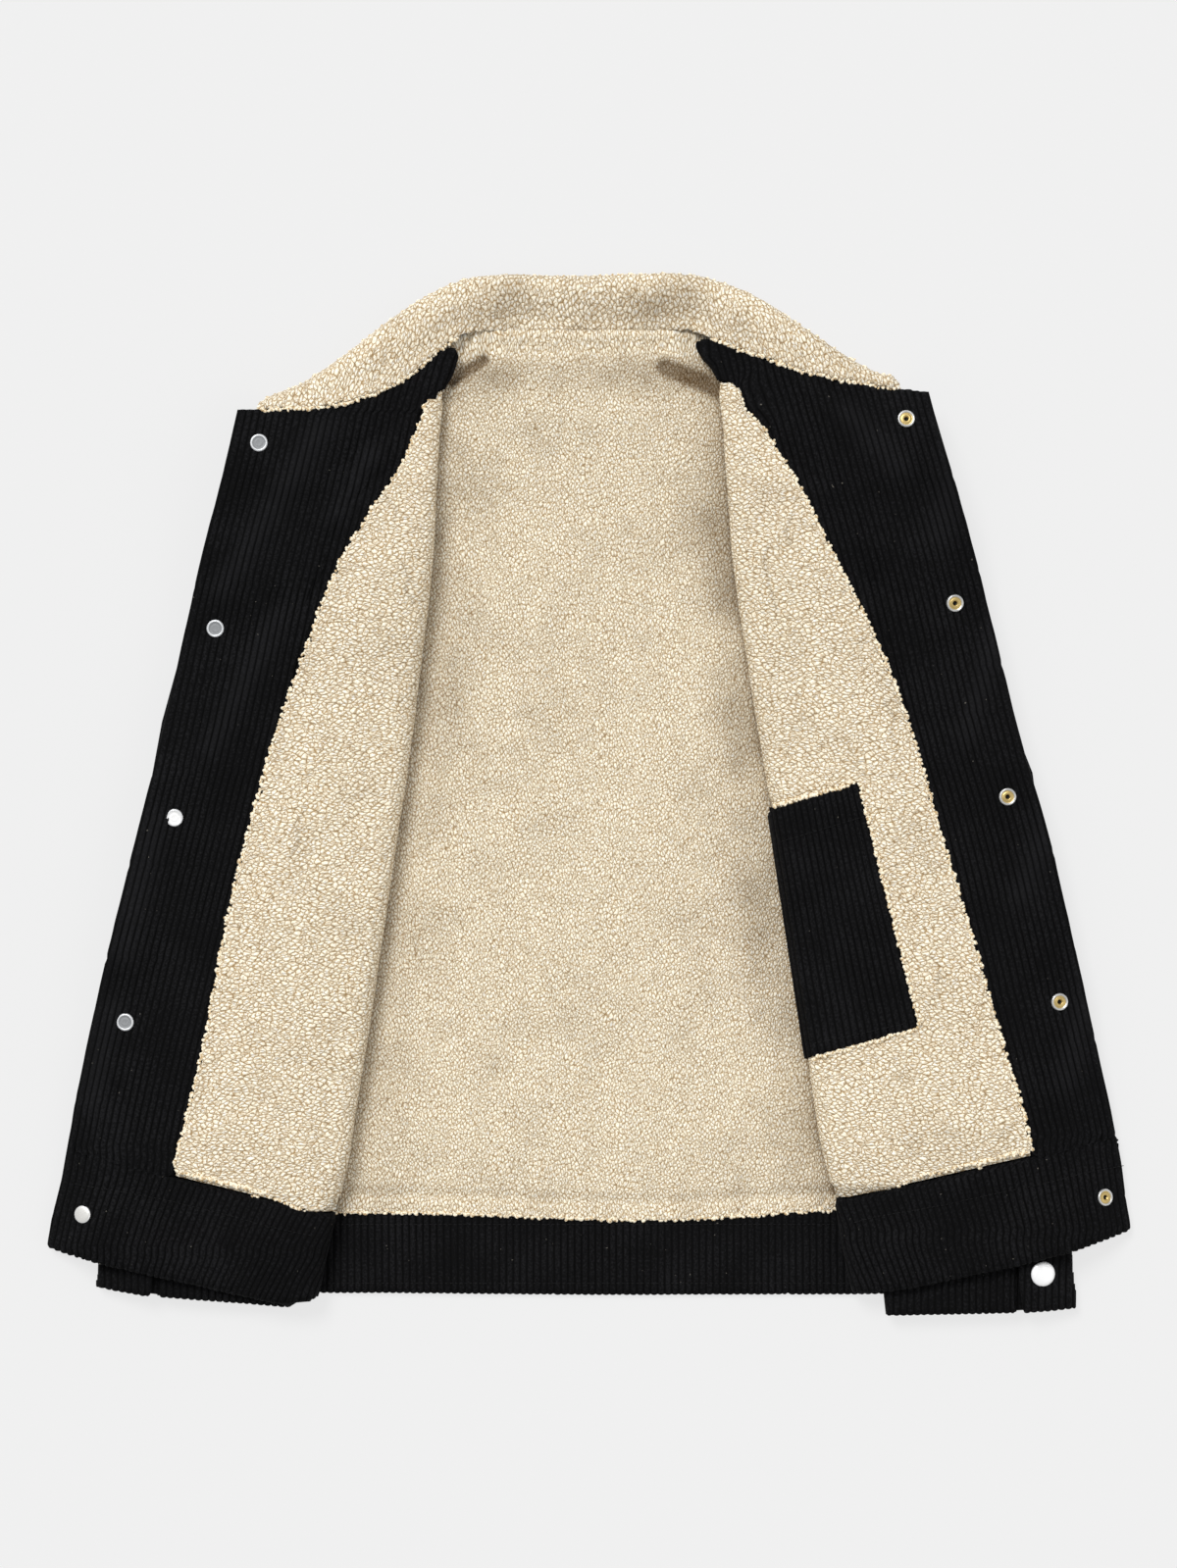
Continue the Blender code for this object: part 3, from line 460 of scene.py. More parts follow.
def stitchTree():
    flow = Flow("stitches", Spacing="Float", Length="Float", Thick="Float", Material="Material")
    points = alongLine(flow)
    ball = flow.add("GeometryNodeMeshIcoSphere", Radius=0.5, Subdivisions=2)
    smooth = flow.add("GeometryNodeSetShadeSmooth", Geometry=ball.outputs[0])
    size = flow.add("ShaderNodeCombineXYZ", X=flow.given["Thick"], Y=flow.given["Thick"], Z=flow.given["Length"])
    stitches = flow.add("GeometryNodeInstanceOnPoints", Points=points.outputs["Points"], Instance=smooth.outputs[0],
                        Rotation=points.outputs["Rotation"], Scale=size.outputs[0])
    flow.end(stitches.outputs[0], flow.given["Material"])
    return flow.tree


trees = {"tufts": tuftTree(), "stitches": stitchTree()}


def strew(name, node, lines, kind, finish, settings):
    # run a tree over lines of points in millimetres and keep plain meshes
    spots, links = [], []
    for line in lines:
        first = len(spots)
        spots += (np.asarray(line) * mm).tolist()
        links += [(k, k + 1) for k in range(first, len(spots) - 1)]
    mesh = bpy.data.meshes.new(name)
    mesh.from_pydata(spots, links, [])
    made = place(name, mesh)
    tree = trees[kind]
    modifier = made.modifiers.new(kind, "NODES")
    modifier.node_group = tree
    values = dict(settings, Material=finish.material)
    for item in tree.interface.items_tree:
        if item.in_out == "INPUT" and item.name in values:
            modifier[item.identifier] = values[item.name]
    graph = bpy.context.evaluated_depsgraph_get()
    whole = bpy.data.meshes.new_from_object(made.evaluated_get(graph))
    made.modifiers.clear()
    made.data = whole
    settle(made, node)


# cloth finishes

sherpaLook = {
    # tip: painted highlight on the tops of the curls
    "tip": linear(255, 255, 251),       # tops of the curls
    "body": linear(254, 244, 220),
    # line and pit: painted shade where two curls meet and, deeper, where three meet
    "line": linear(168, 137, 92),       # where two curls meet
    "pit": linear(136, 107, 68),        # where three meet
    "shaded": linear(112, 96, 76),      # what a deep hollow takes off
    "relief": 0.2,                      # how far the fine curls stand up, as a share of their size
}


def sherpaFinish(name, size, laid=True):
    # size: millimetres from curl to curl; laid: drawn in the cloth's own coordinates
    look = sherpaLook
    f = Finish(name, Roughness=0.95, Specular_IOR_Level=0.12)
    cloth = f.add("ShaderNodeAttribute", {"attribute_name": "cloth"}).outputs["Vector"] if laid else f.coords

    def flatNoise(at, wide, **more):
        return f.add("ShaderNodeTexNoise", {"noise_dimensions": "2D"}, Vector=at, Scale=1000 / wide, **more)

    def drifted(at, wide, far):
        # the same coordinates, pushed about by up to far in lumps of that width
        drift = flatNoise(at, wide, Detail=1.0).outputs["Color"]
        shift = f.add("ShaderNodeVectorMath", {"operation": "SCALE"}, [drift], Scale=far * mm)
        return f.add("ShaderNodeVectorMath", {"operation": "ADD"}, [at, shift.outputs[0]]).outputs[0]

    def cells(at, feature):
        node = f.add("ShaderNodeTexVoronoi", {"voronoi_dimensions": "2D", "feature": feature}, Vector=at,
                     Scale=1000 / size, Randomness=0.8)
        return f.value(node, "Distance")

    turned = f.add("ShaderNodeMapping", Vector=drifted(cloth, 26.0, 5.0), Rotation=(0, 0, 0.6),
                   Scale=(0.75, 1.18, 1)).outputs[0]
    curled = drifted(turned, size * 1.3, size * 0.8)
    middle, rim = cells(curled, "F1"), cells(curled, "DISTANCE_TO_EDGE")
    patch = f.value(flatNoise(cloth, size * 1.7, Detail=1.0))
    fine = f.value(flatNoise(turned, size * 0.6, Detail=0.0, Distortion=0.4))
    # painted shade: the line colour where curls meet and in fine streaks, the pit colour deeper in
    body = f.blend(rim.between(0.0, 0.15), look["line"], look["body"])
    body = f.blend(fine.between(0.48, 0.34) * 0.6, body, look["line"])
    body = f.blend(middle.between(0.46, 0.78) * patch.between(0.3, 0.6) * 0.5, body, look["pit"])
    # painted highlight: the tip colour on the middles of the curls
    body = f.blend(middle.between(0.34, 0.0) * fine.between(0.4, 0.55), body, look["tip"])
    if laid:
        body = f.blend(f.attribute("shade"), body, look["shaded"], "MULTIPLY")
    f.colour(body)
    f.bump(rim.between(-0.05, 0.4), look["relief"] * size * mm, 1.0)
    return f


corduroyLook = {
    "pitch": 4.8,                       # wale to wale
    "height": 1.05,
    "ridge": linear(8, 8, 9),
    # the next colour is painted shade in the wale grooves
    "grooveShade": linear(0, 0, 0),
    # the next colour: rubbed ridges, and also a painted highlight along the crests of the drawn folds
    "wearAndSheen": linear(31, 31, 33),
    "lint": linear(110, 106, 98),
}


def corduroyFinish(name, angle=0.0, drawn=False):
    # drawn: wales from a bump, where the piece has no wales of its own
    look = corduroyLook
    f = Finish(name, Roughness=0.85, Sheen_Weight=0.02, Sheen_Roughness=0.4, Specular_IOR_Level=0.08)
    nap = f.noise(650.0, 2.0, 0.6)
    patch = f.noise(26.0, 3.0)
    if drawn:
        turn = f.parts(f.turned(angle))[0] * (math.pi / (look["pitch"] * mm))
        wave = turn.calc("SINE", turn)
        wale = wave.calc("ABSOLUTE", wave) ** 0.6
    else:
        wale = f.attribute("wale")
    # painted shade: the groove colour in the wale grooves, the ridge colour on their tops
    colour = f.blend(wale.between(0.0, 0.8), look["grooveShade"], look["ridge"])
    rubbed = (patch * 0.3 + nap * 0.7).between(0.42, 0.68) * wale.between(0.4, 0.95) * 0.75
    colour = f.blend(rubbed, colour, look["wearAndSheen"])
    # painted highlight: the rubbed ridge colour laid along the crests of the drawn folds
    colour = f.blend(f.attribute("fold") * wale.between(0.3, 0.9) * 0.4, colour, look["wearAndSheen"])
    speck = f.noise(330.0, 1.0).between(0.795, 0.81)
    colour = f.blend(speck * 0.6, colour, look["lint"])
    f.colour(colour)
    if drawn:
        f.bump(wale * 0.8 + nap * 0.12, 0.0009, 1.0)
    else:
        f.bump(nap, 0.0003, 0.5)
    return f


sherpaFront = sherpaFinish("sherpa of the fronts", 2.9)
sherpaBack = sherpaFinish("sherpa of the back", 2.3)
sherpaCollar = sherpaFinish("sherpa of the collar", 3.1)
sherpaUnder = sherpaFinish("sherpa out of sight", 2.9, laid=False)
sherpaTuft = Finish("sherpa tufts", Roughness=0.95, Specular_IOR_Level=0.12)
sherpaTuft.colour(sherpaTuft.blend(sherpaTuft.noise(620.0, 1.0).between(0.36, 0.56), linear(196, 168, 124),
                                   sherpaLook["body"]))
corduroy = corduroyFinish("corduroy")
corduroyPlain = corduroyFinish("corduroy flat wales", drawn=True)
corduroyLeft = corduroyFinish("corduroy left front", angle=math.radians(-14), drawn=True)
corduroyRight = corduroyFinish("corduroy right front", angle=math.radians(15), drawn=True)
print("finishes ready")


# sherpa

pile = {
    "front": {"step": 1.1, "curl": 5.2, "height": 0.9, "rim": 2.6, "finish": sherpaFront},
    "back": {"step": 1.35, "curl": 7.0, "height": 0.7, "rim": 2.0, "finish": sherpaBack},
    "collar": {"step": 1.0, "curl": 5.2, "height": 1.0, "rim": 2.6, "finish": sherpaCollar},
    "big": 4.4,             # size of a curl at the edges
    "bigHeight": 2.4,
    "rise": 0.3,            # lowest place between curls over the cloth
}


def curls(u, v, size, seed):
    # heights from 0 to 1 of small overlapping curls
    shape = u.shape
    u, v = u.ravel() / size, v.ravel() / size
    wu = u + 0.35 * softNoise(u, v, 1.7, seed + 1)
    wv = v + 0.35 * softNoise(u, v, 1.7, seed + 2)
    source = np.random.default_rng(seed)
    n = 256
    ju, jv, tall, spin = (source.uniform(0, 1, (n, n)) for _ in range(4))
    i, j = np.floor(wu).astype(int), np.floor(wv).astype(int)
    best = np.zeros(len(u))
    for di in range(-2, 3):
        for dj in range(-2, 3):
            ci, cj = (i + di), (j + dj)
            ki, kj = ci % n, cj % n
            cu, cv = ci + ju[ki, kj], cj + jv[ki, kj]
            swirl = 3.0 * softNoise(cu, cv, 9.0, seed + 3) + 1.6 * (spin[ki, kj] - 0.5)
            du, dv = wu - cu, wv - cv
            c, s = np.cos(swirl), np.sin(swirl)
            a, b = (du * c + dv * s) / 1.25, (dv * c - du * s) / 0.72
            d = a * a + b * b
            best = np.maximum(best, (0.62 + 0.38 * tall[ki, kj]) * np.sqrt(np.maximum(0, 1 - d)))
    return best.reshape(shape)


def sherpaSheet(names, node, laid, up, own, edge, pressed=0.0, splitAt=(), ragged=None, shade=0.0):
    # own: settings of this pile; edge: 0 to 1, how far it is of the big kind; pressed: 0 to 1, where something lies
    # on it; ragged: millimetres past the sewn edge, where only the curls reach on
    grid, mask, levels, across = laid
    v, u = np.meshgrid(levels, across, indexing="ij")
    seed = sum(map(ord, names[0]))
    normal = gridNormals(grid, up)
    small = curls(u, v, own["curl"], seed)
    big = curls(u, v, pile["big"], seed + 20)
    height = small * (1 - edge) + big * edge
    tall = own["height"] * (1 - edge) + pile["bigHeight"] * edge
    loft = 1 + 0.25 * softNoise(u, v, 23.0, seed + 5)
    if ragged is not None:
        mask = mask & (ragged < (big - 0.25) * own["rim"] * 1.6)
    rim = rimDistance(mask, 4)
    lift = (pile["rise"] + height * tall * loft) * ease((rim + 0.6) / 2.4) - 0.5 * (rim < 1)
    lift = lift * (1 - pressed)
    # painted shade in soft broad patches, added to the shade attribute
    shadeMottle = 0.1 * softNoise(u, v, 34.0, seed + 7) + 0.07 * softNoise(u, v, 13.0, seed + 8)
    data = {"cloth": np.stack([u, v, 0 * u], axis=2) * mm, "shade": np.clip(shade + shadeMottle, 0, 1)}
    spots = grid + normal * lift[..., None]
    ends = [0, *splitAt, len(levels) - 1]
    for name, first, last in zip(names, ends, ends[1:]):
        part = np.zeros(mask.shape, bool)
        part[first:last + 1] = mask[first:last + 1]
        settle(meshFromGrid(name, spots, part, own["finish"], data, up < 0), node)


def fromEnds(mask):
    # cells to the first and to the last used cell of each row
    columns = np.arange(mask.shape[1])
    first = np.where(mask.any(1), mask.argmax(1), 0)
    last = np.where(mask.any(1), mask.shape[1] - 1 - mask[:, ::-1].argmax(1), 0)
    return columns - first[:, None], last[:, None] - columns


def insideShape(x, y, corners, soft):
    # 1 inside a drawn outline, down to 0 at a soft distance outside it
    corners = np.asarray(corners, float)
    turn = np.sign(sum(a[0] * b[1] - b[0] * a[1] for a, b in zip(corners, np.roll(corners, -1, 0))))
    outside = np.full(np.shape(x), -1e9)
    for a, b in zip(corners, np.roll(corners, -1, 0)):
        way = (b - a) / np.linalg.norm(b - a)
        outside = np.maximum(outside, ((x - a[0]) * way[1] - (y - a[1]) * way[0]) * turn)
    return 1 - ease(outside / soft)


def rimLine(grid, mask, distance, every, lift):
    # points along the place where a distance changes sign, one per row or column
    line = []
    for i in range(0, len(grid), every):
        there = np.where(mask[i])[0]
        if len(there):
            j = there[np.argmin(abs(distance[i, there]))]
            line.append(grid[i, j] + (0, 0, lift))
    return line


def onSheet(grid, mask, corners, every, lift):
    # points over a sheet, along a drawn line
    there = grid[mask]
    line = []
    for a, b in zip(corners, corners[1:]):
        for share in np.arange(0, 1, every / math.dist(a, b)):
            x, y = (k + (m - k) * share for k, m in zip(a, b))
            away = (there[:, 0] - x) ** 2 + (there[:, 1] - y) ** 2
            line.append((x, y, there[np.argmin(away - 4 * there[:, 2]), 2] + lift))
    return line


def near(x, y, start, end, reach):
    # 1 on a drawn stroke, soft to 0 away from it
    start, end = np.array(start, float), np.array(end, float)
    way = end - start
    t = np.clip(((x - start[0]) * way[0] + (y - start[1]) * way[1]) / (way @ way), 0, 1)
    return np.exp(-((x - start[0] - t * way[0]) ** 2 + (y - start[1] - t * way[1]) ** 2) / reach ** 2)


tufts = {"Spacing": 1.8 * mm, "Radius": 1.8 * mm, "Spread": (1.0 * mm, 1.0 * mm, 0.4 * mm), "Least": 0.5, "Seed": 3}
pocketShape = ((100, -11), (185.3, 7.2), (226.3, -160.3), (130, -186))      # where the pocket lies on the pile
pocketRim = (129, -8.8), (184.5, 7.6), (187.3, 5), (228.5, -160), (226, -163.6), (153, -184)
partings = {        # wiggling lines where the pile falls apart
    "left": [((-128, 158), (-124, 148), (-127, 140), (-121, 132)), ((-140, 205), (-133, 196), (-134, 188)),
             ((-196, -12), (-203, -22), (-200, -33), (-206, -44))],
    "right": [((124, 170), (121, 160), (124, 148), (127, 136), (131, 125)), ((140, 190), (136, 180), (139, 172)),
              ((205, 62), (211, 52), (209, 41), (215, 30)), ((236, -112), (243, -120), (241, -131))],
}
frontLay = {
    "top": {"left": 272, "right": 289},     # where the lining goes in under the facing
    "hem": 2.2, "raise": 0.4,
    "tip": ((114, 281), (117, 268), 9),     # the right tip: from, to, reach, and how far it is drawn in
    "drawn": -7,
    "parting": 0.5, "partingShade": 0.26,
    "rollShade": (0.06, 9, 6),              # under the fold: how dark, how far down, how wide
}
foldLine = {}       # where each front folds, over its height

for side, sign in sides.items():
    node = "front_lining_" + side
    own = pile["front"]
    grid, mask, levels, across = wrapGrid(node, 1, spanOf(node, 1, 0.5), (own["step"], own["step"]), sign, "turn",
                                          under=30.0, out=own["rim"])
    foldLine[side] = levels, grid[:, np.argmin(abs(across)), 0]
    grid = blur(blur(grid, mask, 5, 0), mask, 2, 1)
    x, y, z = (grid[..., k] for k in range(3))
    fromFacing = fromEnds(mask)[0] * own["step"] - own["rim"]
    fromHem = (levels - levels[0])[:, None] + 0 * fromFacing
    mask &= y < frontLay["top"][side]
    y -= frontLay["hem"] * (1 - ease(fromHem / 9))
    z += frontLay["raise"]
    if sign > 0:
        x += frontLay["drawn"] * near(x, y, *frontLay["tip"])
    edge = 1 - ease((np.minimum(fromFacing, fromHem) - 3) / 8)
    pressed = insideShape(x, y, pocketShape, 3.0) * (across < 25) if sign > 0 else 0.0
    strokes = [ends for line in partings[side] for ends in zip(line, line[1:])]
    apart, swell = (sum(near(x, y, *ends, reach) for ends in strokes) for reach in (1.5, 6))
    apart = np.minimum(apart, 1)
    z += frontLay["parting"] * (swell - apart)
    shade = frontLay["partingShade"] * apart + bell(across, *frontLay["rollShade"])
    sherpaSheet(["sherpa_front_" + side], node, (grid, mask, levels, across), -sign, own, edge, pressed,
                ragged=-fromFacing, shade=shade)
    bodyOf("sherpa_front_back_" + side, node, sherpaUnder, 0.7)
    sewn = rimLine(grid, mask, fromFacing + own["rim"] - 0.4, 2, 0.9)
    hem = rimLine(grid.swapaxes(0, 1), mask.T & (fromFacing.T > 0), fromHem.T, 2, 0.9)
    rims = [sewn, hem] + [onSheet(grid, mask, pocketRim, 2.0, 1.5)] * (sign > 0)
    strew("sherpa_tufts_" + side, node, rims, "tufts", sherpaTuft, tufts)
print("front linings dressed")

backLay = {
    "neck": (7.2, 3.4),     # how far the cloth goes on under the collar, and how much more at its sides
    "roll": 2.6,            # height of the soft roll along the neck
    "hem": 3.2,
    "creases": (((53, 296), (88, 281), 5.2), ((-73, 301), (-95, 286), 3.4)),                # from, to, reach
    "creaseDepth": 2.6, "creaseShade": 1.35,
    # painted shade patches on the back near the fronts
    "shadeBlots": (((84, 186), (94, 132), 14, 0.24), ((100, 60), (104, 20), 10, 0.16),           # the same, and how dark
              ((-88, 120), (-98, 60), 12, 0.096), ((-86, 240), (-90, 215), 10, 0.12),
              ((112, -70), (118, -130), 12, 0.2)),
    # painted shade, and with rollLight a painted light: how dark, where, how wide
    "front": (0.13, 0, 38), "rightFront": (0.06, 0, 26), "seam": (0.8, 0, 1.6), "rollLight": (-0.25, 8, 5),
    "shoulders": (0.3, 290, 13), "hemShade": (0.16, 17, 4),
    # painted shadow close under the fronts
    "contact": (0.4, 1.8), "rightContact": (0.18, 6),       # close under the fronts: how dark, how wide
    "darkest": 0.9,
}
own = pile["back"]
grid, mask, levels, across = wrapGrid("back_lining", 0, (-205, 205), (own["step"], own["step"]), -1, out=2.2)
for side, sign in sides.items():
    rows, folds = foldLine[side]
    mask &= grid[..., 0] * sign < np.interp(grid[..., 1], rows, folds * sign) + 12
grid = blur(blur(grid, mask, 4, 0), mask, 4, 1)
first, last = (count * own["step"] for count in fromEnds(mask))
edge = 1 - ease((np.minimum(first, last) - 8) / 6)
x, y = grid[..., 0].copy(), grid[..., 1].copy()
neck = 1 - ease((abs(x) - 100) / 12)
grid[..., 1] += neck * (backLay["neck"][0] + backLay["neck"][1] * ease((abs(x) - 50) / 25)) * (1 - ease(last / 14))
grid[..., 1] -= backLay["hem"] * (1 - ease(first / 12))
grid[..., 2] += bell(last, neck * backLay["roll"], 4, 3.2)
# millimetres in from the nearer front
inward = np.minimum(*(np.interp(y, rows, folds * sign) - x * sign
                      for (rows, folds), sign in ((foldLine[side], sides[side]) for side in sides)))
inward = np.maximum(inward, 0)
creases = sum(near(x, y, *crease) for crease in backLay["creases"])
grid[..., 2] += backLay["creaseDepth"] * (sum(near(x, y, a, b, 15) for a, b, _ in backLay["creases"]) - creases)
# painted shade: the fronts' shadows, the creases, the neck seam, the shoulders, the hem and the shade blots, less a
# painted light along the neck roll
shade = bell(inward, *backLay["front"]) + fade(inward, *backLay["contact"]) + backLay["creaseShade"] * creases
shade += (x > 0) * (bell(inward, *backLay["rightFront"]) + fade(inward, *backLay["rightContact"]))
shade += neck * (bell(last, *backLay["seam"]) + bell(last, *backLay["rollLight"]))
shade += bell(y, *backLay["shoulders"]) + bell(first, *backLay["hemShade"])
shade += sum(dark * near(x, y, a, b, reach) for a, b, reach, dark in backLay["shadeBlots"])
sherpaSheet(["sherpa_back_left", "sherpa_back_right"], "back_lining", (grid, mask, levels, across), -1, own, edge,
            splitAt=[int(np.argmin(abs(levels)))], shade=np.minimum(shade, backLay["darkest"]))
hem = rimLine(grid, mask, first - 1, 2, 0.9)
strew("sherpa_tufts_back", "back_lining", [hem], "tufts", sherpaTuft, tufts)
bodyOf("sherpa_back_under", "back_lining", sherpaUnder, 0.35)
print("back lining dressed")

collarLay = {
    "hollows": (((-62, 12), (-52, 26), 12), ((42, 18), (66, 22), 12)),      # from, to, reach, down from the seam
    "hollowShade": 0.25,
    "shade": (0.16, 14, 13), "seamShade": (0.7, 2),                         # as on the back
    "tufts": (-90, 84),                                                     # the seam shows beyond these only
}
own = pile["collar"]
grid, mask, levels, across = wrapGrid("collar_top", 0, spanOf("collar_top", 0, 0.6), (own["step"], own["step"]), -1,
                                      "turn", under=20.0, out=own["rim"])
grid = blur(blur(grid, mask, 5, 0), mask, 2, 1)
fromSeam = fromEnds(mask)[0] * own["step"] - own["rim"]
edge = 0.25 + 0.75 * (1 - ease((fromSeam - 2) / 8))
x = grid[..., 0]
shade = bell(fromSeam, *collarLay["shade"]) * ease((140 - abs(x)) / 40) + fade(fromSeam + 2, *collarLay["seamShade"])
shade += collarLay["hollowShade"] * sum(near(x, fromSeam, *hollow) for hollow in collarLay["hollows"])
sherpaSheet(["sherpa_collar"], "collar_top", (grid, mask, levels, across), -1, own, edge, ragged=-fromSeam,
            shade=shade)
sewn = rimLine(grid, mask, fromSeam + own["rim"] - 0.4, 2, 0.9)
least, most = collarLay["tufts"]
sewn = [[spot for spot in sewn if spot[0] < least], [spot for spot in sewn if spot[0] > most]]
rolled = rimLine(grid, mask, across + 0 * fromSeam, 2, 0.2)
strew("sherpa_tufts_collar", "collar_top", [*sewn, rolled], "tufts", sherpaTuft, tufts)
bodyOf("sherpa_collar_under", "collar_top", sherpaUnder, 0.35)
print("collar dressed")


# corduroy

def corduroySheet(name, node, laid, up, counted="across"):
    # counted: which way the wales are counted, across the rows or along them
    grid, mask, levels, across = laid
    v, u = np.meshgrid(levels, across, indexing="ij")
    if counted == "along":
        u, v = v, u
    pitch = corduroyLook["pitch"]
    wander = 0.35 * softNoise(u, v, 60.0, 7) + 0.15 * softNoise(u, v, 14.0, 8)
    phase = ((u + wander) / pitch) % 1.0
    wale = np.abs(np.sin(math.pi * phase)) ** 0.55
    tall = corduroyLook["height"] * (1 + 0.18 * softNoise(u, v, 11.0, 9))
    lift = 0.25 + wale * tall
    normal = gridNormals(grid, up)
    piece = meshFromGrid(name, grid + normal * lift[..., None], mask, corduroy, {"wale": wale}, up < 0)
    return settle(piece, node)


def evenColumns(laid, step, lip=0.0, extra=0.0, drop=0.0, ruled=False):
    # the same cloth with every wale drawn out to its own ends, lip down at the lower end, extra on at the upper
    # one and drop on at the lower; ruled: both ends on straight lines
    grid, mask, levels, across = laid
    fewest, reach = 6, 6        # rows that make a wale, cells that its ends are evened over
    used = np.where(mask.sum(0) > fewest)[0]
    grid, mask, across = grid[:, used], mask[:, used], across[used]
    low, high = levels[mask.argmax(0)], levels[len(levels) - 1 - mask[::-1].argmax(0)]
    low, high = (np.convolve(np.pad(line, reach, "edge"), np.full(2 * reach + 1, 1 / (2 * reach + 1)), "valid")
                 for line in (low, high))
    if ruled:
        sure = slice(len(used) // 10, -len(used) // 5)
        low, high = (np.polyval(np.polyfit(across[sure], line[sure], 1), across) for line in (low, high))
    count = int(math.ceil((high - low).max() / step)) + 1
    share = np.linspace(0, 1, count)
    rows = low + (high - low) * share[:, None]
    out = np.zeros((count, len(used), 3))
    for j in range(len(used)):
        there = mask[:, j]
        for k in range(3):
            out[:, j, k] = np.interp(rows[:, j], levels[there], grid[there, j, k])
        if ruled:
            out[:, j, 0] = np.polyval(np.polyfit(levels[there], grid[there, j, 0], 1), rows[:, j])
    out[..., 1] = rows
    if lip:
        edge = np.repeat(out[:1], 3, 0)
        edge[..., 1] -= lipOut[:, None]
        edge[..., 2] -= np.array([lip, *lipDown])[:, None]
        out = np.concatenate([edge, out])
        rows = np.concatenate([rows[:1] - np.array([[lip + 0.6], [1.4], [0.6]]), rows])
    if drop:
        end = out[:1] + (out[:1] - out[1:2]) / step * drop
        out, rows = np.concatenate([end, out]), np.concatenate([rows[:1] - drop, rows])
    if extra:
        end = out[-1:] + (out[-1:] - out[-2:-1]) / step * extra
        out, rows = np.concatenate([out, end]), np.concatenate([rows, rows[-1:] + extra])
    return out, np.ones(out.shape[:2], bool), rows[:, 0], across


cloth = {"columns": 0.6, "rows": 4.0, "levels": 1.5}        # across the wales, along them, and to read the wall by
thread = Finish("black thread", Base_Color=linear(13, 13, 14), Roughness=0.6, Specular_IOR_Level=0.2)
sewing = {"Spacing": 3.4 * mm, "Length": 2.5 * mm, "Thick": 0.55 * mm}


def pointsOf(piece):
    points = np.zeros(len(piece.data.vertices) * 3)
    piece.data.vertices.foreach_get("co", points)
    return points.reshape(-1, 3) / mm


def movePoints(piece, points):
    piece.data.vertices.foreach_set("co", (points * mm).ravel())
    piece.data.update()


def moveUp(piece, points, lift):
    points[:, 2] += lift
    movePoints(piece, points)


def drape(piece, folds):
    # soft folds in laid cloth: from, to, half width, height; each fold is also marked for a painted highlight along
    # its crest
    points = pointsOf(piece)
    strokes = [near(points[:, 0], points[:, 1], a, b, wide) for a, b, wide, tall in folds]
    layer = piece.data.attributes.new("fold", "FLOAT", "POINT")
    layer.data.foreach_set("value", np.minimum(sum(strokes), 1).astype(np.float32))
    moveUp(piece, points, sum(tall * stroke for stroke, (_, _, _, tall) in zip(strokes, folds)))


def shove(piece, strokes):
    # move cloth sideways: from, to, reach, how far
    points = pointsOf(piece)
    move = np.zeros(points.shape)
    for a, b, reach, way in strokes:
        move[:, :2] += near(points[:, 0], points[:, 1], a, b, reach)[:, None] * way
    movePoints(piece, points + move)


def clampUnder(piece, nodes):
    # flatten cloth under something that is clamped on it
    points = pointsOf(piece)
    lower = np.zeros(len(points))
    for node in nodes:
        corners = np.array(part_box(node)) / mm
        reach = np.ptp(corners[:, 1]) / 2
        away = np.hypot(*(points[:, :2] - corners.mean(0)[:2]).T)
        lower = np.maximum(lower, 1 - ease((away - reach + 1.4) / 1.2))
    moveUp(piece, points, -1.1 * lower)


def sew(name, piece, node, lines):
    # press a groove along drawn lines and lay stitches in it
    points = pointsOf(piece)
    depth = np.zeros(len(points))
    sewn = []
    for line in lines:
        run = np.concatenate([[0], np.cumsum(np.hypot(*np.diff(np.array(line, float), axis=0).T))])
        steps = np.arange(0, run[-1], 1.7)
        x, y = (np.interp(steps, run, [p[k] for p in line]) for k in (0, 1))
        for a, b in zip(line, line[1:]):
            depth = np.maximum(depth, 0.55 * near(points[:, 0], points[:, 1], a, b, 1.3))
        spots = []
        for spotX, spotY in zip(x, y):
            close = np.where(np.hypot(points[:, 0] - spotX, points[:, 1] - spotY) < 2.6)[0]
            if len(close):
                top = points[close, 2].max()
                spots.append((spotX, spotY, np.mean(points[close[points[close, 2] > top - 2], 2])))
        sewn.append(spots)
    moveUp(piece, points, -depth)
    strew(name, node, sewn, "stitches", thread, sewing)


fronts = {
    "left": {
        "finish": corduroyLeft, "snaps": "snap_post_%d",
        "straight": (-242, 225),                        # heights between which the opening edge is one line
        "bandStraight": [(-311, -252), (-348, -295)],   # the same for the band's outer edge and its fold
        # folds of the facing: from, to, half width, height
        "folds": [((-185, 250), (-252, 140), 10, 2.6), ((-215, 120), (-262, 30), 9, 2.0),
                  ((-300, -20), (-322, -110), 11, 2.4), ((-330, -150), (-345, -215), 9, 1.8),
                  ((-150, 235), (-175, 190), 8, 1.6)],
        # where the edge swings in or out: from, to, reach, how far
        "bulges": [((-94, 288), (-92, 305), 6, (3.0, 0))],
        "bandBulges": [((-208, -350), (-195, -348), 6, (0, -4.6))],
        "seam": [(-356, -271), (-322, -276), (-290, -282), (-249, -292), (-228, -298), (-207, -303), (-192, -306)],
    },
    "right": {
        "finish": corduroyRight, "snaps": "snap_socket_%d",
        "straight": (-233, 225), "bandStraight": [(-297, -246), (-340, -290)],
        "folds": [((262, 255), (243, 180), 11, 2.3), ((285, 120), (262, 40), 9, 2.0),
                  ((330, 10), (300, -70), 11, 2.4), ((350, -120), (330, -200), 10, 2.0),
                  ((180, 262), (215, 225), 9, 1.7)],
        "bulges": [((78, 309), (84, 302), 5, (-4.2, 0)), (*frontLay["tip"], (frontLay["drawn"], 0))],
        "bandBulges": [],
        "seam": [(371, -259), (343, -263), (315, -270), (281, -277), (245, -285), (198, -293), (184, -297)],
    },
}

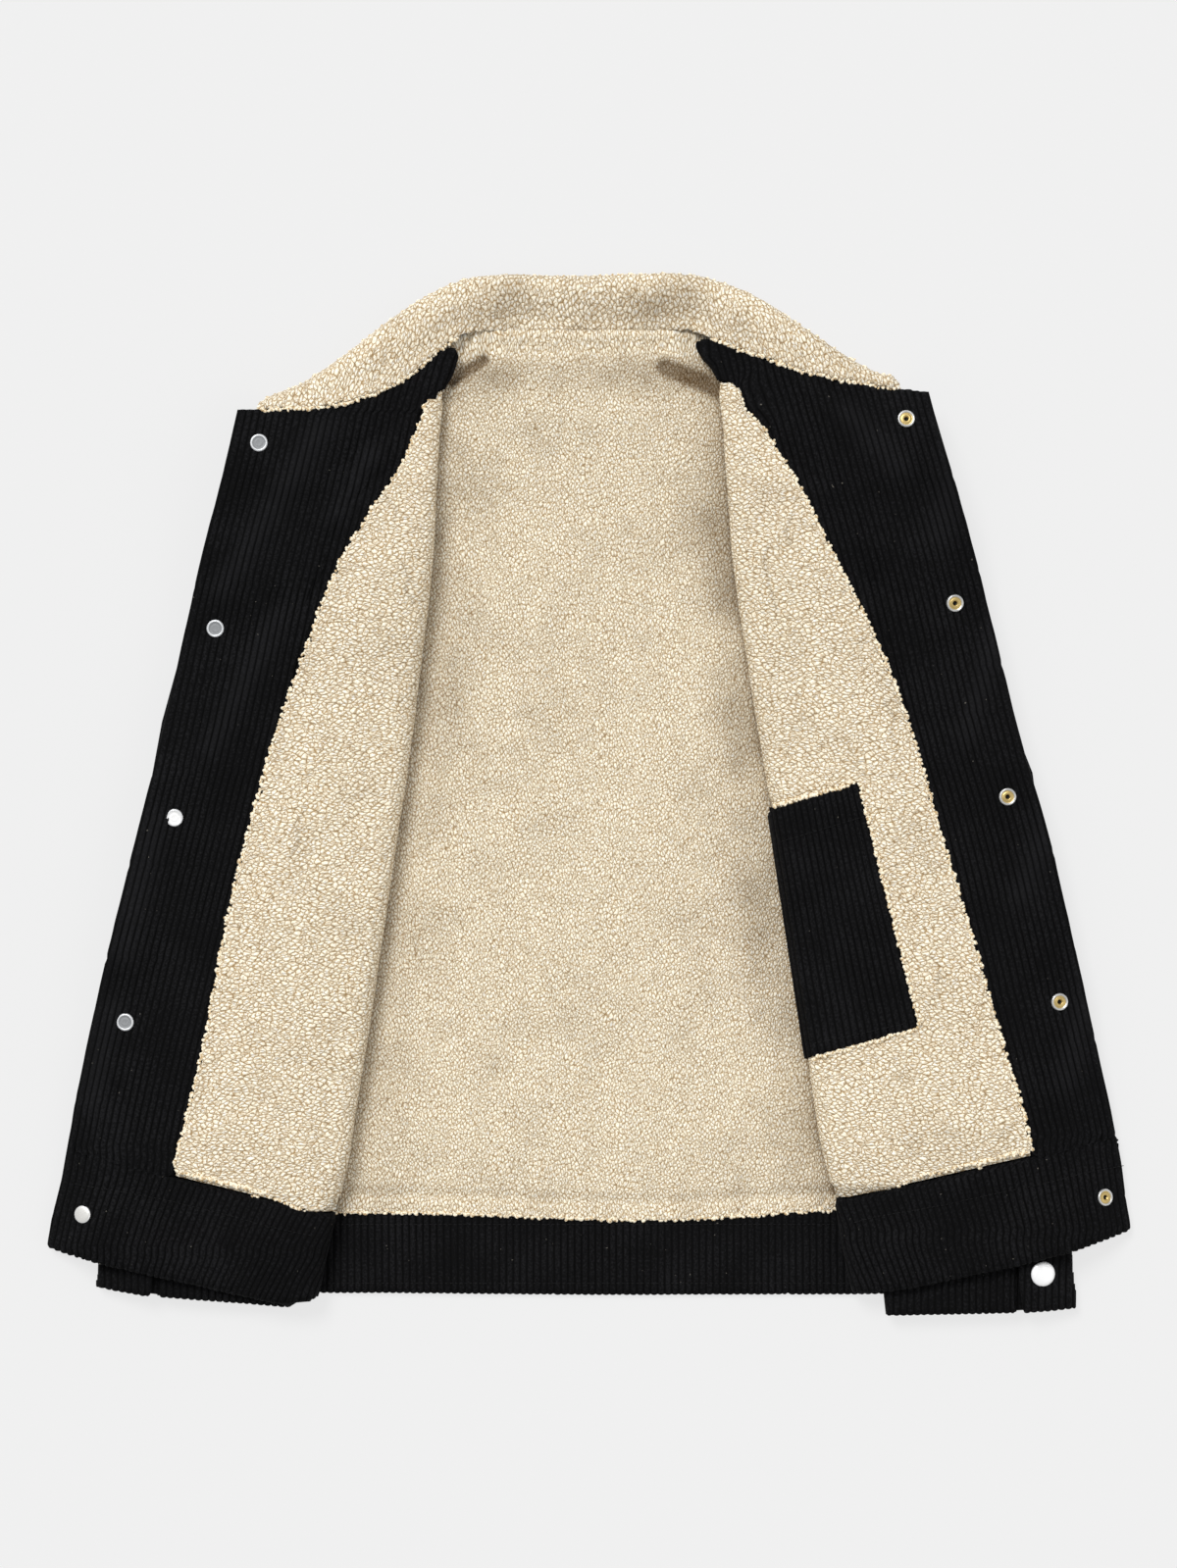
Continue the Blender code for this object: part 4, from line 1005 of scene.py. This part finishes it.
for side, sign in sides.items():
    front = fronts[side]
    node = "front_facing_" + side
    laid = wrapGrid(node, 1, spanOf(node, 1, 0.4), (cloth["levels"], cloth["columns"]), sign, "edge", lip=2.8,
                    straight=[front["straight"]])
    piece = corduroySheet("facing_" + side, node, evenColumns(laid, cloth["rows"], extra=2.0, drop=2.2), -sign)
    drape(piece, front["folds"])
    shove(piece, front["bulges"])
    clampUnder(piece, [front["snaps"] % k for k in range(1, 6)])
    bodyOf("facing_under_" + side, node, front["finish"], 0.1)

    node = "front_hem_band_" + side
    laid = wrapGrid(node, 1, spanOf(node, 1, 0.4), (cloth["levels"], cloth["columns"]), sign, "fan", under=25.0,
                    lip=3.0, straight=front["bandStraight"])
    piece = corduroySheet("hem_band_" + side, node, evenColumns(laid, cloth["rows"], lip=3.0, extra=0.6), -sign)
    for bulge in front["bandBulges"]:
        shove(piece, [bulge])
    sew("hem_band_stitches_" + side, piece, node, [front["seam"]])
    bodyOf("hem_band_under_" + side, node, front["finish"], 0.3)

    node = "cuff_" + side
    laid = wrapGrid(node, 0, spanOf(node, 0, 0.4), (cloth["columns"], cloth["rows"]), -1, lip=2.2, pick="top")
    corduroySheet("cuff_cloth_" + side, node, laid, -1, counted="along")
    bodyOf("cuff_under_" + side, node, corduroyPlain, 0.2)

laid = wrapGrid("back_hem_band", 0, (-215, 215), (cloth["columns"], cloth["rows"]), -1, lip=3.0)
piece = corduroySheet("hem_band_back", "back_hem_band", laid, -1, counted="along")
sew("hem_band_stitches_back", piece, "back_hem_band", [[(-185, -300), (172, -300)], [(-205, -341), (192, -341)]])
bodyOf("hem_band_back_under", "back_hem_band", corduroyPlain, 0.3)

laid = wrapGrid("inner_pocket", 1, spanOf("inner_pocket", 1, 0.3), (cloth["levels"], cloth["columns"]), 1, "fan",
                under=5.0, lip=1.6, straight=[(-155, 4), (-172, -14)])
piece = corduroySheet("pocket_cloth", "inner_pocket", evenColumns(laid, cloth["rows"], lip=1.6, ruled=True), -1)
sew("pocket_stitches", piece, "inner_pocket", [[(179, 5), (219, -159), (155, -173)], [(134, -33), (190, -16)]])
bodyOf("pocket_under", "inner_pocket", corduroyRight, 0.2)
print("corduroy dressed")

# what lies underneath, plain
for name, finish in (("back_shell", corduroyPlain), ("sleeve_left", corduroyPlain), ("sleeve_right", corduroyPlain),
                     ("collar_under", corduroyPlain), ("front_shell_left", corduroyLeft),
                     ("front_shell_right", corduroyRight)):
    bodyOf(name + "_cloth", name, finish, 0.02, replaced=name)


# snaps

snaps = {
    # outline from the middle of the top to the middle of the underside: share of the radius, share of the height
    "post": [(0, 0.72), (0.3, 0.72), (0.38, 0.76), (0.46, 0.7), (0.68, 0.66), (0.75, 0.88), (0.86, 1), (0.95, 0.86),
             (1, 0.5), (0.98, 0), (0, 0)],
    "socket": [(0, 0.1), (0.24, 0.1), (0.28, 0.7), (0.35, 0.82), (0.56, 0.72), (0.68, 0.5), (0.77, 0.88), (0.88, 1),
               (0.96, 0.8), (1, 0.45), (0.98, 0), (0, 0)],
    "cap": [(0, 1), (0.3, 0.97), (0.55, 0.88), (0.75, 0.74), (0.88, 0.56), (0.95, 0.38), (1, 0.18), (0.98, 0),
            (0, 0)],
    "dome": [(0, 0.98), (0.4, 0.95), (0.72, 0.88), (0.88, 0.78), (0.96, 0.55), (1, 0.3), (0.98, 0), (0, 0)],
    "segments": 40,
}


def metalFinish(name, inner, outer, limit, metallic, rough, hole=None):
    # one metal inside a share of the radius, another outside it; hole: radius and colour of a dark middle
    f = Finish(name, Metallic=metallic)
    ring = f.attribute("ring").between(limit - 0.03, limit + 0.03)
    wearAndSheen = f.noise(900.0, 2.0)
    colour = f.blend(ring, linear(*inner), linear(*outer))
    if hole:
        colour = f.blend(f.attribute("ring").between(hole[0], hole[0] + 0.05), linear(*hole[1]), colour)
    f.colour(colour)
    f.rough(wearAndSheen * 0.12 + ring * (rough[1] - rough[0]) + rough[0])
    return f


snapFinish = {
    "post": metalFinish("post metal", (140, 142, 144), (216, 218, 220), 0.76, 0.45, (0.55, 0.35)),
    "dome": metalFinish("dome metal", (222, 221, 217), (250, 250, 249), 0.9, 0.5, (0.32, 0.3)),
    "socket": metalFinish("socket metal", (196, 172, 112), (206, 206, 204), 0.72, 0.8, (0.35, 0.3),
                          hole=(0.22, (16, 13, 8))),
    "bright": metalFinish("bright post metal", (240, 240, 239), (222, 223, 224), 0.76, 0.35, (0.45, 0.35)),
    "cap": metalFinish("cap metal", (253, 253, 253), (246, 246, 247), 0.9, 0.25, (0.35, 0.3)),
}


def turnedSnap(name, node, kind, finish=None):
    # turn the outline about the axis of the CAD snap
    points = cadPiece(node)[0]
    middle = points.mean(0)
    axis = np.linalg.svd(points - middle)[2][2]
    axis = axis * np.sign(axis[2])
    high = (points - middle) @ axis
    radius = np.linalg.norm(points - middle - high[:, None] * axis, axis=1).max()
    side = np.cross(axis, (0, 1, 0))
    side = side / np.linalg.norm(side)
    other = np.cross(axis, side)
    bm = bmesh.new()
    layer = bm.verts.layers.float.new("ring")
    angles = np.linspace(0, 2 * math.pi, snaps["segments"], endpoint=False)
    rings = []
    for share, rise in snaps[kind]:
        centre = middle + axis * (high.min() + rise * np.ptp(high))
        turns = angles if share else angles[:1]
        ring = [bm.verts.new((centre + radius * share * (side * math.cos(t) + other * math.sin(t))) * mm)
                for t in turns]
        for v in ring:
            v[layer] = share
        rings.append(ring)
    n = len(angles)
    for upper, lower in zip(rings, rings[1:]):
        for k in range(n):
            if len(upper) == 1:
                bm.faces.new((upper[0], lower[k], lower[(k + 1) % n]))
            elif len(lower) == 1:
                bm.faces.new((upper[k], lower[0], upper[(k + 1) % n]))
            else:
                bm.faces.new((upper[k], lower[k], lower[(k + 1) % n], upper[(k + 1) % n]))
    bmesh.ops.recalc_face_normals(bm, faces=bm.faces)
    settle(fromBmesh(name, bm, snapFinish[finish or kind]), node)


# the fifth post is a plain dome, the third is the brightest
for k in range(1, 6):
    turnedSnap("post_%d" % k, "snap_post_%d" % k, "post" if k < 5 else "dome", "bright" if k == 3 else None)
    turnedSnap("socket_%d" % k, "snap_socket_%d" % k, "socket")
for side in sides:
    turnedSnap("cuff_cap_" + side, "cuff_snap_" + side, "cap")
print("snaps turned")


# floor, light and camera

studio = {
    "air": 0.50,                        # even light from all round
    "key": 2.3, "keyFrom": (-0.55, 0.85, 1.25),
    "fill": 0.48, "fillFrom": (1.0, -0.3, 0.8),
    "floor": 0.12, "glow": 0.733,       # the floor is lit a little from within, as a light table
    "distance": 4.0,                    # camera over the floor
    "top": 0.02, "tall": 1.087,         # at this height the picture is so tall, in metres
    "over": (-0.0002, 0.0065),          # where the camera stands, across and up the picture
}

floorMesh = bpy.data.meshes.new("floor")
floorMesh.from_pydata([(-6, -6, 0), (6, -6, 0), (6, 6, 0), (-6, 6, 0)], [], [(0, 1, 2, 3)])
floorMesh.materials.append(Finish("floor", Base_Color=(studio["floor"],) * 3, Roughness=0.9, Specular_IOR_Level=0.0,
                                  Emission_Color=(1.0, 1.0, 1.0), Emission_Strength=studio["glow"]).material)
floor = place("floor", floorMesh)
floor.location.z = -0.0005

world = bpy.data.worlds.new("studio")
world.use_nodes = True
world.node_tree.nodes["Background"].inputs[0].default_value = (1.0, 1.0, 1.0, 1.0)
world.node_tree.nodes["Background"].inputs[1].default_value = studio["air"]
bpy.context.scene.world = world
bpy.context.scene.view_settings.view_transform = "Standard"


def softLamp(name, source, power, wide):
    lamp = bpy.data.lights.new(name, "SUN")
    lamp.energy, lamp.angle = power, math.radians(wide)
    made = place(name, lamp)
    made.location = source
    made.rotation_euler = (-Vector(source)).to_track_quat("-Z", "Y").to_euler()


softLamp("key", studio["keyFrom"], studio["key"], 25)
softLamp("fill", studio["fillFrom"], studio["fill"], 50)

camera = place("camera", bpy.data.cameras.new("camera"))
camera.data.sensor_fit = "VERTICAL"
camera.data.sensor_height = 36.0
camera.data.lens = camera.data.sensor_height * (studio["distance"] - studio["top"]) / studio["tall"]
camera.location = (*studio["over"], studio["distance"])
bpy.context.scene.camera = camera
